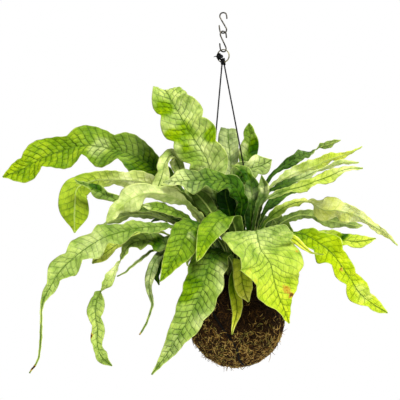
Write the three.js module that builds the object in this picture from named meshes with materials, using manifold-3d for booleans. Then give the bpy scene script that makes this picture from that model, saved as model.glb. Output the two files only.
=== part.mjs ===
// A kokedama: a strap-leaved fern in a ball of soil bound in moss, hung by two cords, a split ring and two S-hooks.
// Millimetres, +Z up, seen from the front along +Y with +X to the right.
// The origin is where the upper hook hangs: the inside of its top bend.
import * as THREE from 'three';
import { mergeVertices } from 'three/addons/utils/BufferGeometryUtils.js';
import Module from 'manifold-3d';

const wasm = await Module();
wasm.setup();

// Driving sizes
const clearance = 0.3; // left between pieces that touch
const ballRadius = 60;
const ballCentre = new THREE.Vector3(16, 0, -382);
const mossThickness = 6;
const mouthRadius = 33; // the moss is open at the top, where the stalks come out
const flatSpotHeight = -58.5; // underside of the ball, below its centre
const soilRadius = ballRadius - mossThickness - clearance;
const soilTop = 57;
const soilRim = 50; // the soil's height where it meets the moss
const soilMound = { radius: 16, drop: 1.5 }; // the rounded top of the soil, and how far it falls by its edge
const stalkBottom = 50; // above the ball's centre
const stalkStraight = 62; // the stalk is upright to this height
const stalkHalfWidth = 1.9;
const stalkThickness = 1.9;
const stalkHoleRadius = 3.2;
const bladeThickness = 0.7;
const stalkEnds = [12, 45]; // along a frond, where its thickness goes over from the stalk's to the blade's
const wavesBegin = [25, 70]; // along a frond, where its waves grow from nothing to their full depth
const stationSpacing = 12; // along a frond
const stationsPerWave = 3.9;
const fewestRows = 10;
const mostRows = 28;
const broadBlade = 20; // half width from which a frond gets more facets across
const waveDrift = 0.13; // of a wave, so that the waves aren't evenly long
const driftTurns = 9; // radians of that drift along a frond
const frondLag = 1.7; // radians, from one frond's waves to the next one's
const halfLag = -1.5; // radians, from one margin's waves to the other one's
const lobeLag = 0.8; // radians, from a margin's waves to its lobes
const lobeMean = 4 / Math.PI; // so that the lobes leave the mean width as it is
const cordRadius = 1;
const wireRadius = 0.9; // of the S-hooks
const hookHalfHeight = 12.8; // centre line, from the hook's middle to its bends
const hookHalfWidth = 4.4;
const hookShoulder = 0.9; // of the bends, in from the half width
const hookShoulderHeight = 11.5;
const ringRadius = 8; // centre line of the split ring
const ringWireRadius = 0.55;
const ringPitch = 1.25; // from one turn of the ring to the next
const ringSweep = 3.94 * Math.PI; // of its wire, nearly two turns

// Materials
const finish = (color, roughness, metalness = 0) => new THREE.MeshStandardMaterial({ color, roughness, metalness });
const mossFinish = finish(0x4a3820, 1);
const soilFinish = finish(0x2a1d12, 1);
const cordFinish = finish(0x121212, 0.85);
const steelFinish = finish(0x6f6c5c, 0.35, 1);
const darkLeaf = finish(0x4f8a1c, 0.4);
const brightLeaf = finish(0x9cc223, 0.4);
const paleLeaf = finish(0xc3d98a, 0.5);

// A closed mesh as a solid of the boolean library, and back
function toSolid(geometry) {
  const bare = geometry.clone();
  bare.deleteAttribute('normal');
  bare.deleteAttribute('uv');
  const merged = mergeVertices(bare, 1e-4);
  return new wasm.Manifold(new wasm.Mesh({
    numProp: 3,
    vertProperties: new Float32Array(merged.attributes.position.array),
    triVerts: new Uint32Array(merged.index.array),
  }));
}

function toGeometry(solid) {
  const mesh = solid.getMesh();
  const geometry = new THREE.BufferGeometry();
  geometry.setAttribute('position', new THREE.BufferAttribute(new Float32Array(mesh.vertProperties), 3));
  geometry.setIndex(new THREE.BufferAttribute(new Uint32Array(mesh.triVerts), 1));
  return geometry;
}

const part = new THREE.Group();
const ball = new THREE.Group();
ball.position.copy(ballCentre);
part.add(ball);

function addPiece(group, name, geometry, material) {
  const mesh = new THREE.Mesh(geometry, material);
  mesh.name = name;
  group.add(mesh);
  return mesh;
}

// A tube of that radius along a curve
function tube(curve, radius, steps, sides = 8) {
  const section = new THREE.Shape();
  for (let k = 0; k < sides; k++) {
    const angle = (2 * Math.PI * k) / sides;
    const x = radius * Math.cos(angle);
    const y = radius * Math.sin(angle);
    if (k === 0) section.moveTo(x, y);
    else section.lineTo(x, y);
  }
  return new THREE.ExtrudeGeometry(section, { steps, bevelEnabled: false, extrudePath: curve });
}

const vector = ([x, y, z]) => new THREE.Vector3(x, y, z);

// Fronds
// name, finish, root on the soil [x, y], heading in degrees from above (0 right, 90 back), waves along a margin,
// depth of the waves and of the lobes as shares of the half width, rise of the halves from the midrib in degrees,
// and the path.
// A path point is [x, y, z, half width, turn of the blade about the path in degrees], from the ball's centre.
const frondTable = [
  ['frond_far_left', darkLeaf, [-14, 12], 180, 6, 0.26, 0.28, 12, [
    [-20, 24, 82, 2.6, 0], [-40, 38, 122, 5, -20], [-82, 48, 168, 12, -45], [-122, 56, 201, 23, -60],
    [-161, 59, 215, 25, -65], [-193, 58, 219, 24, -70], [-224, 52, 212, 22, -70], [-252, 46, 200, 22, -70],
    [-276, 38, 186, 16, -70], [-297, 32, 178, 1, -65]]],
  ['frond_upright', paleLeaf, [-7, 0], 90, 8, 0.22, 0.14, 10, [
    [-9, -4, 82, 3, 0], [-17, -10, 118, 6, 0], [-29, -21, 167, 19, 0], [-36, -26, 197, 24, -5],
    [-53, -23, 225, 28, -8], [-68, -16, 250, 27, -8], [-81, -6, 273, 23, -4], [-89, 8, 286, 17, 0],
    [-92, 26, 280, 12, 0], [-95, 36, 262, 1, 0]]],
  ['frond_left_folded', brightLeaf, [-17.5, 6], 180, 6, 0.22, 0.25, 10, [
    [-24, 11, 82, 2.6, 0], [-42, 19, 118, 5, 30], [-66, 19, 148, 8, 50], [-107, 11, 169, 12, 60],
    [-150, 1, 174, 12.5, 62], [-180, -8, 172, 11, 68], [-197, -15, 163, 20, 78], [-199, -20, 146, 18.5, 88],
    [-200, -20, 126, 13.5, 88], [-200, -18, 108, 1, 88]]],
  ['frond_left_twisted', darkLeaf, [-14, 0], 180, 6, 0.34, 0.25, 14, [
    [-24, -4, 80, 2.6, 0], [-60, -18, 120, 4, -20], [-110, -30, 136, 5, -50], [-142, -33, 146, 6, -70],
    [-158, -35, 154, 6.5, -90], [-170, -37, 160, 8, -75], [-180, -39, 165, 4.5, -60], [-190, -41, 168, 4, -40],
    [-198, -43, 174, 0.8, -20]]],
  ['frond_left_pale', paleLeaf, [-10.5, -6], 180, 5, 0.36, 0.3, 12, [
    [-15, -16, 86, 2.6, 0], [-42, -32, 125, 5, 20], [-60, -44, 142, 7, 40], [-85, -56, 155, 10, 60],
    [-116, -68, 155, 13, 70], [-131, -73, 147, 14, 70], [-144, -77, 136, 9, 75], [-156, -80, 123, 0.8, 75]]],
  ['frond_left_olive', darkLeaf, [-21, 0], 180, 4, 0.28, 0.2, 12, [
    [-28, -4, 77, 2.6, 0], [-50, -8, 99, 4, 10], [-80, -16, 120, 5, 30], [-111, -24, 131, 6.5, 50],
    [-131, -26, 130, 7, 55], [-150, -28, 124, 5, 55], [-163, -30, 119, 0.8, 55]]],
  ['frond_left_short', brightLeaf, [-17.5, -6], 180, 3, 0.26, 0.2, 10, [
    [-22, -12, 80, 2.6, 0], [-40, -24, 105, 4, -20], [-60, -35, 125, 5, -35], [-76, -44, 134, 6, -50],
    [-92, -50, 138, 7.5, -65], [-105, -52, 141, 6, -70], [-115, -53, 143, 0.8, -70]]],
  ['frond_lower_left', brightLeaf, [-24.5, -6], 212, 9, 0.32, 0.28, 12, [
    [-32, -10, 78, 2.8, 0], [-60, -32, 108, 5, -20], [-105, -62, 116, 8, -50], [-137, -80, 111, 12, -60],
    [-164, -98, 101, 16, -60], [-184, -112, 87, 15, -60], [-201, -124, 72, 14, -60], [-213, -134, 54, 9, -60],
    [-222, -142, 35, 3, -50], [-224, -148, 11, 1.7, -40], [-224, -152, -12, 1.6, -40],
    [-226, -154, -29, 1.5, -40], [-236, -157, -45, 0.8, -40]]],
  ['frond_lobed_small', brightLeaf, [-21, -12], 205, 5, 0.35, 0.3, 12, [
    [-30, -14, 70, 2.4, 0], [-70, -20, 98, 3, -20], [-112, -28, 112, 3.2, -40], [-139, -38, 99, 6, -60],
    [-156, -46, 87, 8, -65], [-168, -50, 79, 6, -65], [-175, -52, 72, 0.8, -65]]],
  ['frond_long_twist', brightLeaf, [-14, -12], 205, 10, 0.3, 0.25, 10, [
    [-24, -22, 70, 2.6, 0], [-55, -32, 84, 6, -40], [-88, -36, 95, 11, -60], [-109, -42, 100, 12.5, -60],
    [-128, -52, 95, 8, -50], [-136, -60, 84, 6, -10], [-142, -66, 72, 5, 30], [-150, -74, 58, 7, 100],
    [-158, -82, 46, 6, 40], [-166, -90, 31, 8.5, -50], [-167, -98, 15, 9, -75], [-164, -106, -2, 7.5, -60],
    [-164, -112, -17, 6.5, -90], [-160, -116, -30, 7.5, -75], [-146, -120, -42, 0.8, -70]]],
  ['frond_needle', darkLeaf, [-24.5, 6], 205, 1, 0.1, 0.05, 10, [
    [-34, 5, 70, 2, 0], [-64, -8, 84, 2, 0], [-104, -28, 86, 2.2, -40], [-116, -33, 77, 2.4, -50],
    [-129, -38, 67, 1.8, -50], [-137, -40, 60, 1.3, -50], [-146, -42, 56, 0.8, -50]]],
  ['frond_hanging_left', darkLeaf, [-17.5, -18], 200, 5, 0.28, 0.2, 14, [
    [-28, -20, 66, 2.6, 0], [-60, -22, 78, 4, -20], [-88, -28, 82, 5, -40], [-98, -42, 77, 6, -60],
    [-103, -56, 64, 6, -60], [-106, -60, 50, 5, -75], [-105, -63, 36, 3.5, -60], [-102, -65, 25, 1.8, -60],
    [-105, -67, 12, 1.6, -60], [-111, -69, -2, 1.4, -60], [-117, -70, -12, 0.8, -60]]],
  ['frond_hanging_dark', darkLeaf, [-21, 12], 190, 2, 0.2, 0.1, 14, [
    [-32, 14, 76, 2.4, 0], [-46, 12, 86, 3, -10], [-68, 3, 90, 3, -20], [-90, -8, 82, 4, -50],
    [-96, -15, 68, 5, -60], [-98, -20, 55, 4.5, -60], [-95, -22, 44, 0.8, -60]]],
  ['frond_front_left', brightLeaf, [-10.5, -18], 221, 3, 0.14, 0.1, 14, [
    [-16, -26, 90, 3.5, 0], [-36, -42, 111, 9, -20], [-53, -50, 117, 14, -35], [-60, -60, 111, 17, -40],
    [-65, -69, 100, 19, -40], [-70, -77, 87, 17, -40], [-78, -83, 74, 12, -40], [-86, -88, 61, 6, -40],
    [-92, -91, 53, 0.8, -40]]],
  ['frond_front_point', brightLeaf, [0, -12], 238, 3, 0.16, 0.12, 12, [
    [1, -26, 82, 3.5, 0], [-1, -42, 108, 9, 0], [-9, -52, 127, 14, -10], [-22, -64, 124, 16, -20],
    [-32, -76, 112, 15, -30], [-38, -86, 102, 12, -35], [-43, -94, 92, 8, -35], [-46, -100, 84, 5, -35],
    [-49, -104, 77, 0.8, -35]]],
  ['frond_front_big', darkLeaf, [-3.5, -18], 224, 8, 0.14, 0.06, 14, [
    [-6, -30, 74, 4, 0], [-18, -48, 86, 13.5, -15], [-29, -60, 81, 21.5, -30], [-36, -72, 65, 23, -38],
    [-41, -82, 46, 23.5, -40], [-49, -90, 27, 22, -40], [-60, -98, 6, 18, -40], [-74, -105, -16, 12, -40],
    [-89, -111, -38, 5, -40], [-101, -114, -53, 0.8, -40]]],
  ['frond_front_small', brightLeaf, [10.5, -18], 290, 2, 0.14, 0.12, 16, [
    [9, -32, 70, 5, 0], [6, -46, 76, 10.5, 5], [4.5, -56, 67, 12.5, 8], [5, -62, 53, 12.5, 10],
    [8, -66, 39, 9.5, 8], [13, -68, 27, 0.8, 5]]],
  ['frond_front_narrow', darkLeaf, [3.5, -18], 262, 2, 0.12, 0.08, 18, [
    [0, -30, 64, 3.5, 0], [-4, -42, 56, 5, 0], [-5, -50, 42, 6, 0], [-1, -59, 25, 7.5, 0],
    [-1, -65, 12, 5.5, 0], [-5, -67, -2, 2.6, 0], [-7, -67, -12, 0.8, 0]]],
  ['frond_front_right', paleLeaf, [17.5, -18], 295, 5, 0.12, 0.12, 8, [
    [17, -28, 80, 5, 0], [18, -40, 101, 21, 5], [22, -54, 111, 35.5, 10], [24, -70, 102, 41.5, 10],
    [27, -84, 89, 42.5, 10], [37, -94, 74, 39.5, 5], [41, -100, 55, 34.5, 0], [46.5, -103, 36, 23, -5],
    [53, -104, 20, 10, -5], [58.5, -104, 5, 0.8, -5]]],
  ['frond_lower_right', brightLeaf, [24.5, -6], 335, 7, 0.28, 0.22, 10, [
    [32, -14, 80, 2.8, 0], [46, -24, 101, 3, 10], [65, -34, 107, 3.5, 30], [80, -42, 107, 8, 50],
    [98, -50, 97, 17, 60], [114, -58, 84, 18, 62], [124, -64, 70, 12, 60], [134, -68, 55, 12.5, 60],
    [144, -72, 39, 13, 60], [160, -76, 25, 9, 60], [177, -80, 15, 0.8, 60]]],
  ['frond_right_behind', brightLeaf, [24.5, 6], 350, 5, 0.28, 0.22, 10, [
    [36, 6, 74, 2.6, 0], [54, 0, 95, 3, 10], [74, -14, 106, 4, 40], [99, -28, 105, 8, 60],
    [122, -38, 101, 10, 65], [144, -44, 98, 9, 65], [168, -48, 102, 0.8, 65]]],
  ['frond_right_long', paleLeaf, [17.5, 6], 0, 7, 0.3, 0.22, 12, [
    [25, 10, 84, 2.8, 0], [36, 12, 116, 4.5, 30], [48, 12, 130, 6, 55], [65, 10, 141, 6.5, 60],
    [81, 6, 146, 5.5, 40], [93, 2, 145, 7, -10], [107, -4, 137, 15, -60], [128, -12, 135, 14.5, -65],
    [146, -18, 130, 10, -60], [161, -24, 121, 6, -55], [178, -30, 110, 5, -50], [196, -36, 93, 0.8, -50]]],
  ['frond_right_second', darkLeaf, [21, 12], 5, 5, 0.26, 0.2, 12, [
    [29, 17, 82, 2.8, 0], [47, 30, 109, 4, -30], [64, 44, 122, 6, -50], [82, 54, 129, 7, -60],
    [101, 62, 128, 8, -60], [120, 67, 123, 9, -60], [139, 70, 119, 10, -60], [155, 72, 116, 7, -60],
    [168, 72, 115, 0.8, -60]]],
  ['frond_right_dark', darkLeaf, [7, 12], 20, 6, 0.36, 0.3, 14, [
    [12, 18, 84, 2.8, 0], [27, 32, 138, 3.5, 20], [40, 44, 170, 3.5, 50], [50, 51, 182, 3.5, 60],
    [60, 56, 190, 3.5, 60], [69, 60, 196, 6, 60], [79, 65, 202, 8.5, 60], [90, 70, 207, 10, 60],
    [101, 76, 211, 4, 10], [118, 85, 220, 5.5, -50], [130, 90, 224, 5, -60], [142, 94, 228, 0.8, -60]]],
  ['frond_right_pale', paleLeaf, [10.5, 6], 12, 7, 0.28, 0.22, 12, [
    [16, 10, 84, 2.8, 0], [25, 15, 132, 3.5, -20], [33, 17, 152, 3.5, -30], [46, 20, 167, 4, -45],
    [62, 26, 176, 7, -55], [79, 32, 184, 11, -60], [98, 38, 190, 10.5, -60], [117, 43, 199, 9.5, -60],
    [138, 48, 206, 5, -60], [153, 51, 211, 2.5, -60], [165, 53, 218, 0.8, -60]]],
  ['frond_right_slim', darkLeaf, [14, 0], 5, 6, 0.28, 0.22, 12, [
    [21, 5, 84, 2.6, 0], [26, 5, 132, 3.5, 20], [34, 4, 152, 3.5, 35], [49, 3, 163, 4, 50],
    [68, 3, 171, 6, 60],
    [85, 4, 177, 6, 60], [102, 6, 185, 4, 20], [116, 8, 190, 4, -40], [131, 9, 195, 4.5, -60],
    [155, 10, 196, 0.8, -60]]],
  ['frond_right_upper', brightLeaf, [17.5, -6], 0, 6, 0.28, 0.22, 12, [
    [24, -8, 84, 2.6, 0], [28, -12, 128, 3.5, 20], [35, -16, 147, 3.5, 35], [47, -20, 155, 4, 50],
    [65, -26, 161, 5.5, 60],
    [80, -30, 165, 7.5, 60], [96, -34, 171, 7.5, 60], [112, -37, 177, 8, 60], [127, -40, 184, 6, 60],
    [141, -41, 187, 3.5, 60], [153, -42, 187, 0.8, 60]]],
  ['frond_right_inner', darkLeaf, [14, 12], 25, 4, 0.22, 0.18, 12, [
    [20, 18, 84, 3, 0], [30, 30, 119, 3, 30], [40, 38, 136, 4, 50], [50, 46, 147, 6.5, 60],
    [63, 54, 156, 7, 60], [79, 60, 161, 4, 60], [95, 64, 160, 0.8, 60]]],
  ['frond_top_olive', darkLeaf, [0, 12], 90, 3, 0.16, 0.12, 10, [
    [0, 22, 84, 3, 0], [-1, 42, 148, 7, 0], [-4, 54, 182, 10, 0], [-6, 63, 208, 12.5, 0],
    [-8, 73, 230, 12.5, 0], [-8, 84, 242, 9, 0], [-8, 96, 240, 5, 0], [-9, 104, 226, 0.8, 0]]],
  ['frond_top_pointed', darkLeaf, [3.5, 6], 80, 4, 0.24, 0.2, 16, [
    [6, 16, 84, 3, 0], [13, 30, 160, 6, 0], [16, 36, 193, 10, 10], [17, 38, 213, 11.5, 10],
    [19, 37, 229, 10.5, 10], [18.5, 35, 240, 6.5, 10], [18, 34, 247, 0.8, 10]]],
  ['frond_top_right', darkLeaf, [7, 0], 0, 4, 0.28, 0.3, 10, [
    [7, 6, 84, 3, 60], [5, 13, 150, 6, 75], [3, 15, 172, 9, 85], [9, 17, 184, 13, 88],
    [21, 19, 189, 15, 88], [34, 22, 193, 12, 88], [46, 24, 200, 0.8, 88]]],
  ['frond_centre_twist', brightLeaf, [10.5, -6], 180, 5, 0.3, 0.25, 14, [
    [12, -12, 84, 3, -60], [17, -18, 117, 7.5, -80], [18, -20, 136, 9, -95], [19, -20, 155, 9.5, -75],
    [17, -18, 171, 8.5, -95], [12, -15, 184, 6, -80], [2, -12, 189, 3.5, -60], [-6, -11, 191, 0.8, -50]]],
  ['frond_rolled', darkLeaf, [14, -12], 0, 2, 0.16, 0.12, 30, [
    [18, -20, 84, 2.8, 60], [22, -27, 125, 3, 80], [26, -29, 143, 3.5, 80], [33, -31, 156, 8, 80],
    [34, -34, 168, 8.5, 70], [30, -38, 179, 0.8, 60]]],
  ['frond_centre_arch', darkLeaf, [3.5, -6], 180, 7, 0.3, 0.28, 14, [
    [4, -18, 84, 3, -60], [4, -30, 124, 6, -70], [5, -40, 147, 8, -75], [-2, -46, 163, 11, -75],
    [-18, -48, 171, 12, -72], [-35, -52, 172, 14, -70], [-51, -56, 172, 15, -70], [-64, -60, 171, 15, -65],
    [-76, -64, 170, 9, -60], [-89, -67, 170, 0.8, -60]]],
  ['frond_inner_shade', darkLeaf, [0, 0], 90, 2, 0.12, 0.08, 12, [
    [0, -11, 84, 3.5, 0], [-6, -25, 122, 9.5, 0], [-11, -31, 142, 12, 0], [-14, -35, 156, 11, 0],
    [-13, -38, 166, 9, 0], [-14, -39, 175, 0.8, 0]]],
  ['frond_left_peak', paleLeaf, [-10.5, 6], 185, 5, 0.34, 0.3, 14, [
    [-20, 6, 90, 2.8, -40], [-36, 6, 116, 3.4, -50], [-52, -1, 143, 4.5, -60], [-65, -8, 171, 7, -80],
    [-73, -10, 194, 8, -80], [-80, -14, 204, 8.5, -60], [-88, -20, 193, 9, -60], [-92, -24, 178, 9, -75],
    [-97, -26, 163, 7, -80], [-101, -27, 150, 0.8, -80]]],
  ['frond_inner_net', brightLeaf, [-7, -12], 180, 2, 0.18, 0.12, 12, [
    [-11, -22, 84, 2.8, 40], [-24, -32, 119, 5, 80], [-32.5, -37, 136, 8, 90], [-44, -37, 151, 10, 90],
    [-55, -36, 161, 6, 90], [-66, -34, 168, 0.8, 90]]],
  ['frond_inner_narrow', paleLeaf, [-3.5, -6], 180, 3, 0.2, 0.15, 14, [
    [-8, -10, 86, 2.6, -30], [-25, -18, 114, 3.5, -60], [-54, -21, 144, 4.5, -80], [-70, -28, 156, 5, -80],
    [-84, -34, 163, 4, -80], [-93, -38, 167, 0.8, -80]]],
  ['frond_inner_dark', darkLeaf, [-17.5, 18], 180, 2, 0.18, 0.1, 12, [
    [-29, 22, 80, 2.6, 0], [-51, 18, 106, 3.5, -30], [-68, 11, 118, 5, -50], [-85, 5, 125, 5.5, -60],
    [-97, 2, 125, 3.5, -60], [-106, 0, 121, 0.8, -60]]],
  ['frond_yellow_tip', brightLeaf, [21, -12], 330, 2, 0.16, 0.12, 12, [
    [30, -25, 72, 2.4, 0], [46, -46, 97, 3, 20], [57, -57, 104, 3.6, 40], [67, -64, 102, 4.5, 60],
    [78, -69, 93, 3.5, 60], [88, -72, 86, 1.5, 60], [102, -74, 84, 0.8, 60]]],
  ['frond_back_low_left', brightLeaf, [-10.5, 18], 128, 5, 0.22, 0.2, 12, [
    [-14, 30, 73, 3, 0], [-25, 46, 95, 8, 0], [-38, 68, 102, 12, 0], [-49, 90, 94, 13, 0],
    [-57, 106, 78, 11, 0], [-62, 116, 60, 0.8, 0]]],
  ['frond_back_low_right', paleLeaf, [10.5, 18], 48, 5, 0.22, 0.2, 12, [
    [14, 30, 72, 3, 0], [27, 48, 96, 8, 0], [46, 66, 104, 12, 0], [63, 82, 97, 14, 0],
    [75, 95, 80, 11, 0], [82, 103, 60, 0.8, 0]]],
  ['frond_back_left', darkLeaf, [-3.5, 18], 110, 7, 0.22, 0.2, 12, [
    [-6, 30, 86, 4, 0], [-16, 52, 118, 12, 0], [-25, 80, 126, 18, 0], [-33, 108, 113, 20, 0],
    [-38, 130, 87, 19, 0], [-40, 144, 54, 16, 0], [-40, 152, 22, 9, 0], [-42, 156, -6, 0.8, 0]]],
  ['frond_back_middle', brightLeaf, [3.5, 18], 86, 7, 0.22, 0.2, 12, [
    [5, 30, 80, 6, 0], [8, 50, 104, 14, 0], [12, 80, 108, 19, 0], [15, 108, 92, 20, 0],
    [18, 128, 64, 18, 0], [18, 140, 32, 14, 0], [19, 144, 4, 7, 0], [20, 146, -18, 0.8, 0]]],
  ['frond_back_right', darkLeaf, [17.5, 18], 65, 7, 0.22, 0.2, 12, [
    [24, 27, 86, 4, 0], [34, 46, 116, 11, 0], [45, 73, 126, 18, 0], [56, 100, 118, 20, 0],
    [64, 122, 96, 18, 0], [68, 138, 68, 14, 0], [70, 148, 40, 8, 0], [72, 154, 16, 0.8, 0]]],
];

const radians = THREE.MathUtils.degToRad;
const smoothstep = THREE.MathUtils.smoothstep;

// Cubic through the path's points, with the chord lengths as its knots
function pathSampler(points) {
  const knots = [0];
  for (let i = 1; i < points.length; i++) {
    const chord = Math.hypot(...[0, 1, 2].map((c) => points[i][c] - points[i - 1][c]));
    knots.push(knots[i - 1] + chord);
  }
  const last = points.length - 1;
  const slope = (i, c) => {
    if (i === 0) return (points[1][c] - points[0][c]) / knots[1];
    if (i === last) return (points[last][c] - points[last - 1][c]) / (knots[last] - knots[last - 1]);
    const before = knots[i] - knots[i - 1];
    const after = knots[i + 1] - knots[i];
    const slopeBefore = (points[i][c] - points[i - 1][c]) / before;
    const slopeAfter = (points[i + 1][c] - points[i][c]) / after;
    return (slopeBefore * after + slopeAfter * before) / (before + after);
  };
  const at = (along) => {
    const knot = along * knots[last];
    let i = 0;
    while (i < last - 1 && knot > knots[i + 1]) i++;
    const span = knots[i + 1] - knots[i];
    const t = (knot - knots[i]) / span;
    const t2 = t * t;
    const t3 = t2 * t;
    return points[i].map((value, c) => value * (2 * t3 - 3 * t2 + 1) + slope(i, c) * span * (t3 - 2 * t2 + t)
      + points[i + 1][c] * (3 * t2 - 2 * t3) + slope(i + 1, c) * span * (t3 - t2));
  };
  return { at, length: knots[last] };
}

// The middle surface of a blade: along from 0 at the root to 1 at the tip, across from -1 to 1
function bladeSurface([name, , root, heading, waves, ruffle, lobes, rise, path], number) {
  const points = [[...root, stalkBottom, stalkHalfWidth, path[0][4]], [...root, stalkStraight, stalkHalfWidth,
    path[0][4]], ...path];
  const { at, length } = pathSampler(points);
  const azimuth = radians(heading);
  const side = new THREE.Vector3(-Math.sin(azimuth), Math.cos(azimuth), 0);
  const step = 0.002; // of the length, to measure the direction over
  const point = (along, across) => {
    const [x, y, z, halfWidth, turn] = at(along);
    const ahead = vector(at(Math.min(along + step, 1)));
    const behind = vector(at(Math.max(along - step, 0)));
    const forward = ahead.sub(behind).normalize();
    const left = side.clone().addScaledVector(forward, -side.dot(forward)).normalize();
    const up = forward.clone().cross(left);
    const angle = radians(turn);
    const sideways = left.clone().multiplyScalar(Math.cos(angle)).addScaledVector(up, Math.sin(angle));
    const upwards = up.clone().multiplyScalar(Math.cos(angle)).addScaledVector(left, -Math.sin(angle));
    const growth = smoothstep(along * length, ...wavesBegin);
    const uneven = waveDrift * Math.sin(driftTurns * along + number);
    const phase = 2 * Math.PI * (waves * along + uneven) + number * frondLag + (across < 0 ? halfLag : 0);
    const edge = Math.abs(across);
    const lobed = 1 + lobes * growth * (2 * Math.abs(Math.cos((phase + lobeLag) / 2)) - lobeMean);
    const wide = halfWidth * lobed * Math.cos(radians(rise) * growth);
    const lift = halfWidth * growth * (edge * Math.sin(radians(rise)) + ruffle * edge ** 1.5 * Math.sin(phase));
    return new THREE.Vector3(x, y, z).addScaledVector(sideways, across * wide).addScaledVector(upwards, lift);
  };
  const halfThickness = (along) => 0.5 * (bladeThickness
    + (stalkThickness - bladeThickness) * (1 - smoothstep(along * length, ...stalkEnds)));
  return { name, point, halfThickness, length, waves, broad: Math.max(...path.map((p) => p[3])) > broadBlade };
}

// The blade as a closed solid: a grid on either face, split into triangles alike, and a rim
function bladeGeometry(surface) {
  const rows = THREE.MathUtils.clamp(Math.round(
    Math.max(surface.length / stationSpacing, surface.waves * stationsPerWave)), fewestRows, mostRows);
  const columns = surface.broad ? 4 : 2;
  const grid = [];
  for (let i = 0; i <= rows; i++) {
    grid.push([]);
    for (let j = 0; j <= columns; j++) grid[i].push(surface.point(i / rows, (2 * j) / columns - 1));
  }
  const positions = [];
  const faces = [[], []];
  for (let i = 0; i <= rows; i++) {
    for (let j = 0; j <= columns; j++) {
      const alongBlade = grid[Math.min(i + 1, rows)][j].clone().sub(grid[Math.max(i - 1, 0)][j]);
      const acrossBlade = grid[i][Math.min(j + 1, columns)].clone().sub(grid[i][Math.max(j - 1, 0)]);
      const normal = alongBlade.cross(acrossBlade).normalize();
      const half = surface.halfThickness(i / rows);
      faces[0].push(grid[i][j].clone().addScaledVector(normal, half));
      faces[1].push(grid[i][j].clone().addScaledVector(normal, -half));
    }
  }
  for (const face of faces) for (const p of face) positions.push(p.x, p.y, p.z);
  const count = faces[0].length;
  const top = (i, j) => i * (columns + 1) + j;
  const under = (i, j) => count + top(i, j);
  const triangles = [];
  const quad = (a, b, c, d) => triangles.push(a, b, c, a, c, d);
  for (let i = 0; i < rows; i++) {
    for (let j = 0; j < columns; j++) {
      quad(top(i, j), top(i + 1, j), top(i + 1, j + 1), top(i, j + 1));
      triangles.push(under(i, j), under(i + 1, j + 1), under(i + 1, j));
      triangles.push(under(i, j), under(i, j + 1), under(i + 1, j + 1));
    }
    quad(top(i, 0), under(i, 0), under(i + 1, 0), top(i + 1, 0));
    quad(top(i, columns), top(i + 1, columns), under(i + 1, columns), under(i, columns));
  }
  for (let j = 0; j < columns; j++) {
    quad(top(0, j), top(0, j + 1), under(0, j + 1), under(0, j));
    quad(top(rows, j), under(rows, j), under(rows, j + 1), top(rows, j + 1));
  }
  const geometry = new THREE.BufferGeometry();
  geometry.setAttribute('position', new THREE.Float32BufferAttribute(positions, 3));
  geometry.setIndex(triangles);
  return geometry;
}

frondTable.forEach((frond, number) => {
  addPiece(ball, frond[0], bladeGeometry(bladeSurface(frond, number)), frond[1]);
});

// Binding cord: it leaves the left tie, goes down the front, under the ball beside the flat spot, up the right side
// to the right tie, and back to the left tie behind the stalks.
const leftTie = new THREE.Vector3(-41.5, 0, 46);
const rightTie = new THREE.Vector3(37, 0, 48.5);
const bindingRoute = [
  [-42, -1.2, 44], [-43, -10, 41], [-40, -26, 36], [-35, -41, 25], [-27, -52, 9], [-17, -56.6, -6.6],
  [-10, -56.6, -15.6], [-5, -55, -23], [0, -50, -33], [3, -38, -46], [9, -24, -54], [20, -8, -55.5],
  [34, 2, -49], [50, 10, -31], [58, 12, -9], [56, 8, 20], [44, 3, 42], [37, 1, 48.5],
  [31, 22, 47], [20, 40, 42], [0, 48, 37], [-22, 42, 38], [-36, 24, 43], [-42, 8, 43], [-42, 1.2, 44],
];

class BindingCurve extends THREE.Curve {
  constructor(radius) {
    super();
    this.radius = radius;
    this.route = new THREE.CatmullRomCurve3(bindingRoute.map(vector));
  }

  getPoint(t) {
    return this.route.getPoint(t).setLength(this.radius);
  }
}

const bindingRadius = ballRadius - 0.4; // its centre line, so that it is pressed into the moss
const bindingSteps = 32;
const binding = tube(new BindingCurve(bindingRadius), cordRadius, bindingSteps, 5);
const bindingGroove = tube(new BindingCurve(bindingRadius), cordRadius + 2 * clearance, bindingSteps, 5);
const bindingStart = new BindingCurve(bindingRadius).getPoint(0);
const endsRoom = 2.4; // radius of the room in the left tie where its two ends meet
const bindingEnds = toSolid(new THREE.SphereGeometry(endsRoom, 8, 6)
  .translate(bindingStart.x, 0, bindingStart.z));
addPiece(ball, 'binding_cord', binding, cordFinish);

// Hanger cords, knot and ties
const tieRadius = 3.2;
const tieShape = [1, 1.15, 0.85]; // its half sizes, as shares of that radius
const tieDimple = 1.35 * tieRadius; // radius of the hollow that it presses into the moss

function hangerCord(from, to, radius, extra = 0) {
  const direction = to.clone().sub(from).normalize();
  return tube(new THREE.LineCurve3(from.clone().addScaledVector(direction, -extra),
    to.clone().addScaledVector(direction, extra)), radius, 2);
}

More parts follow.
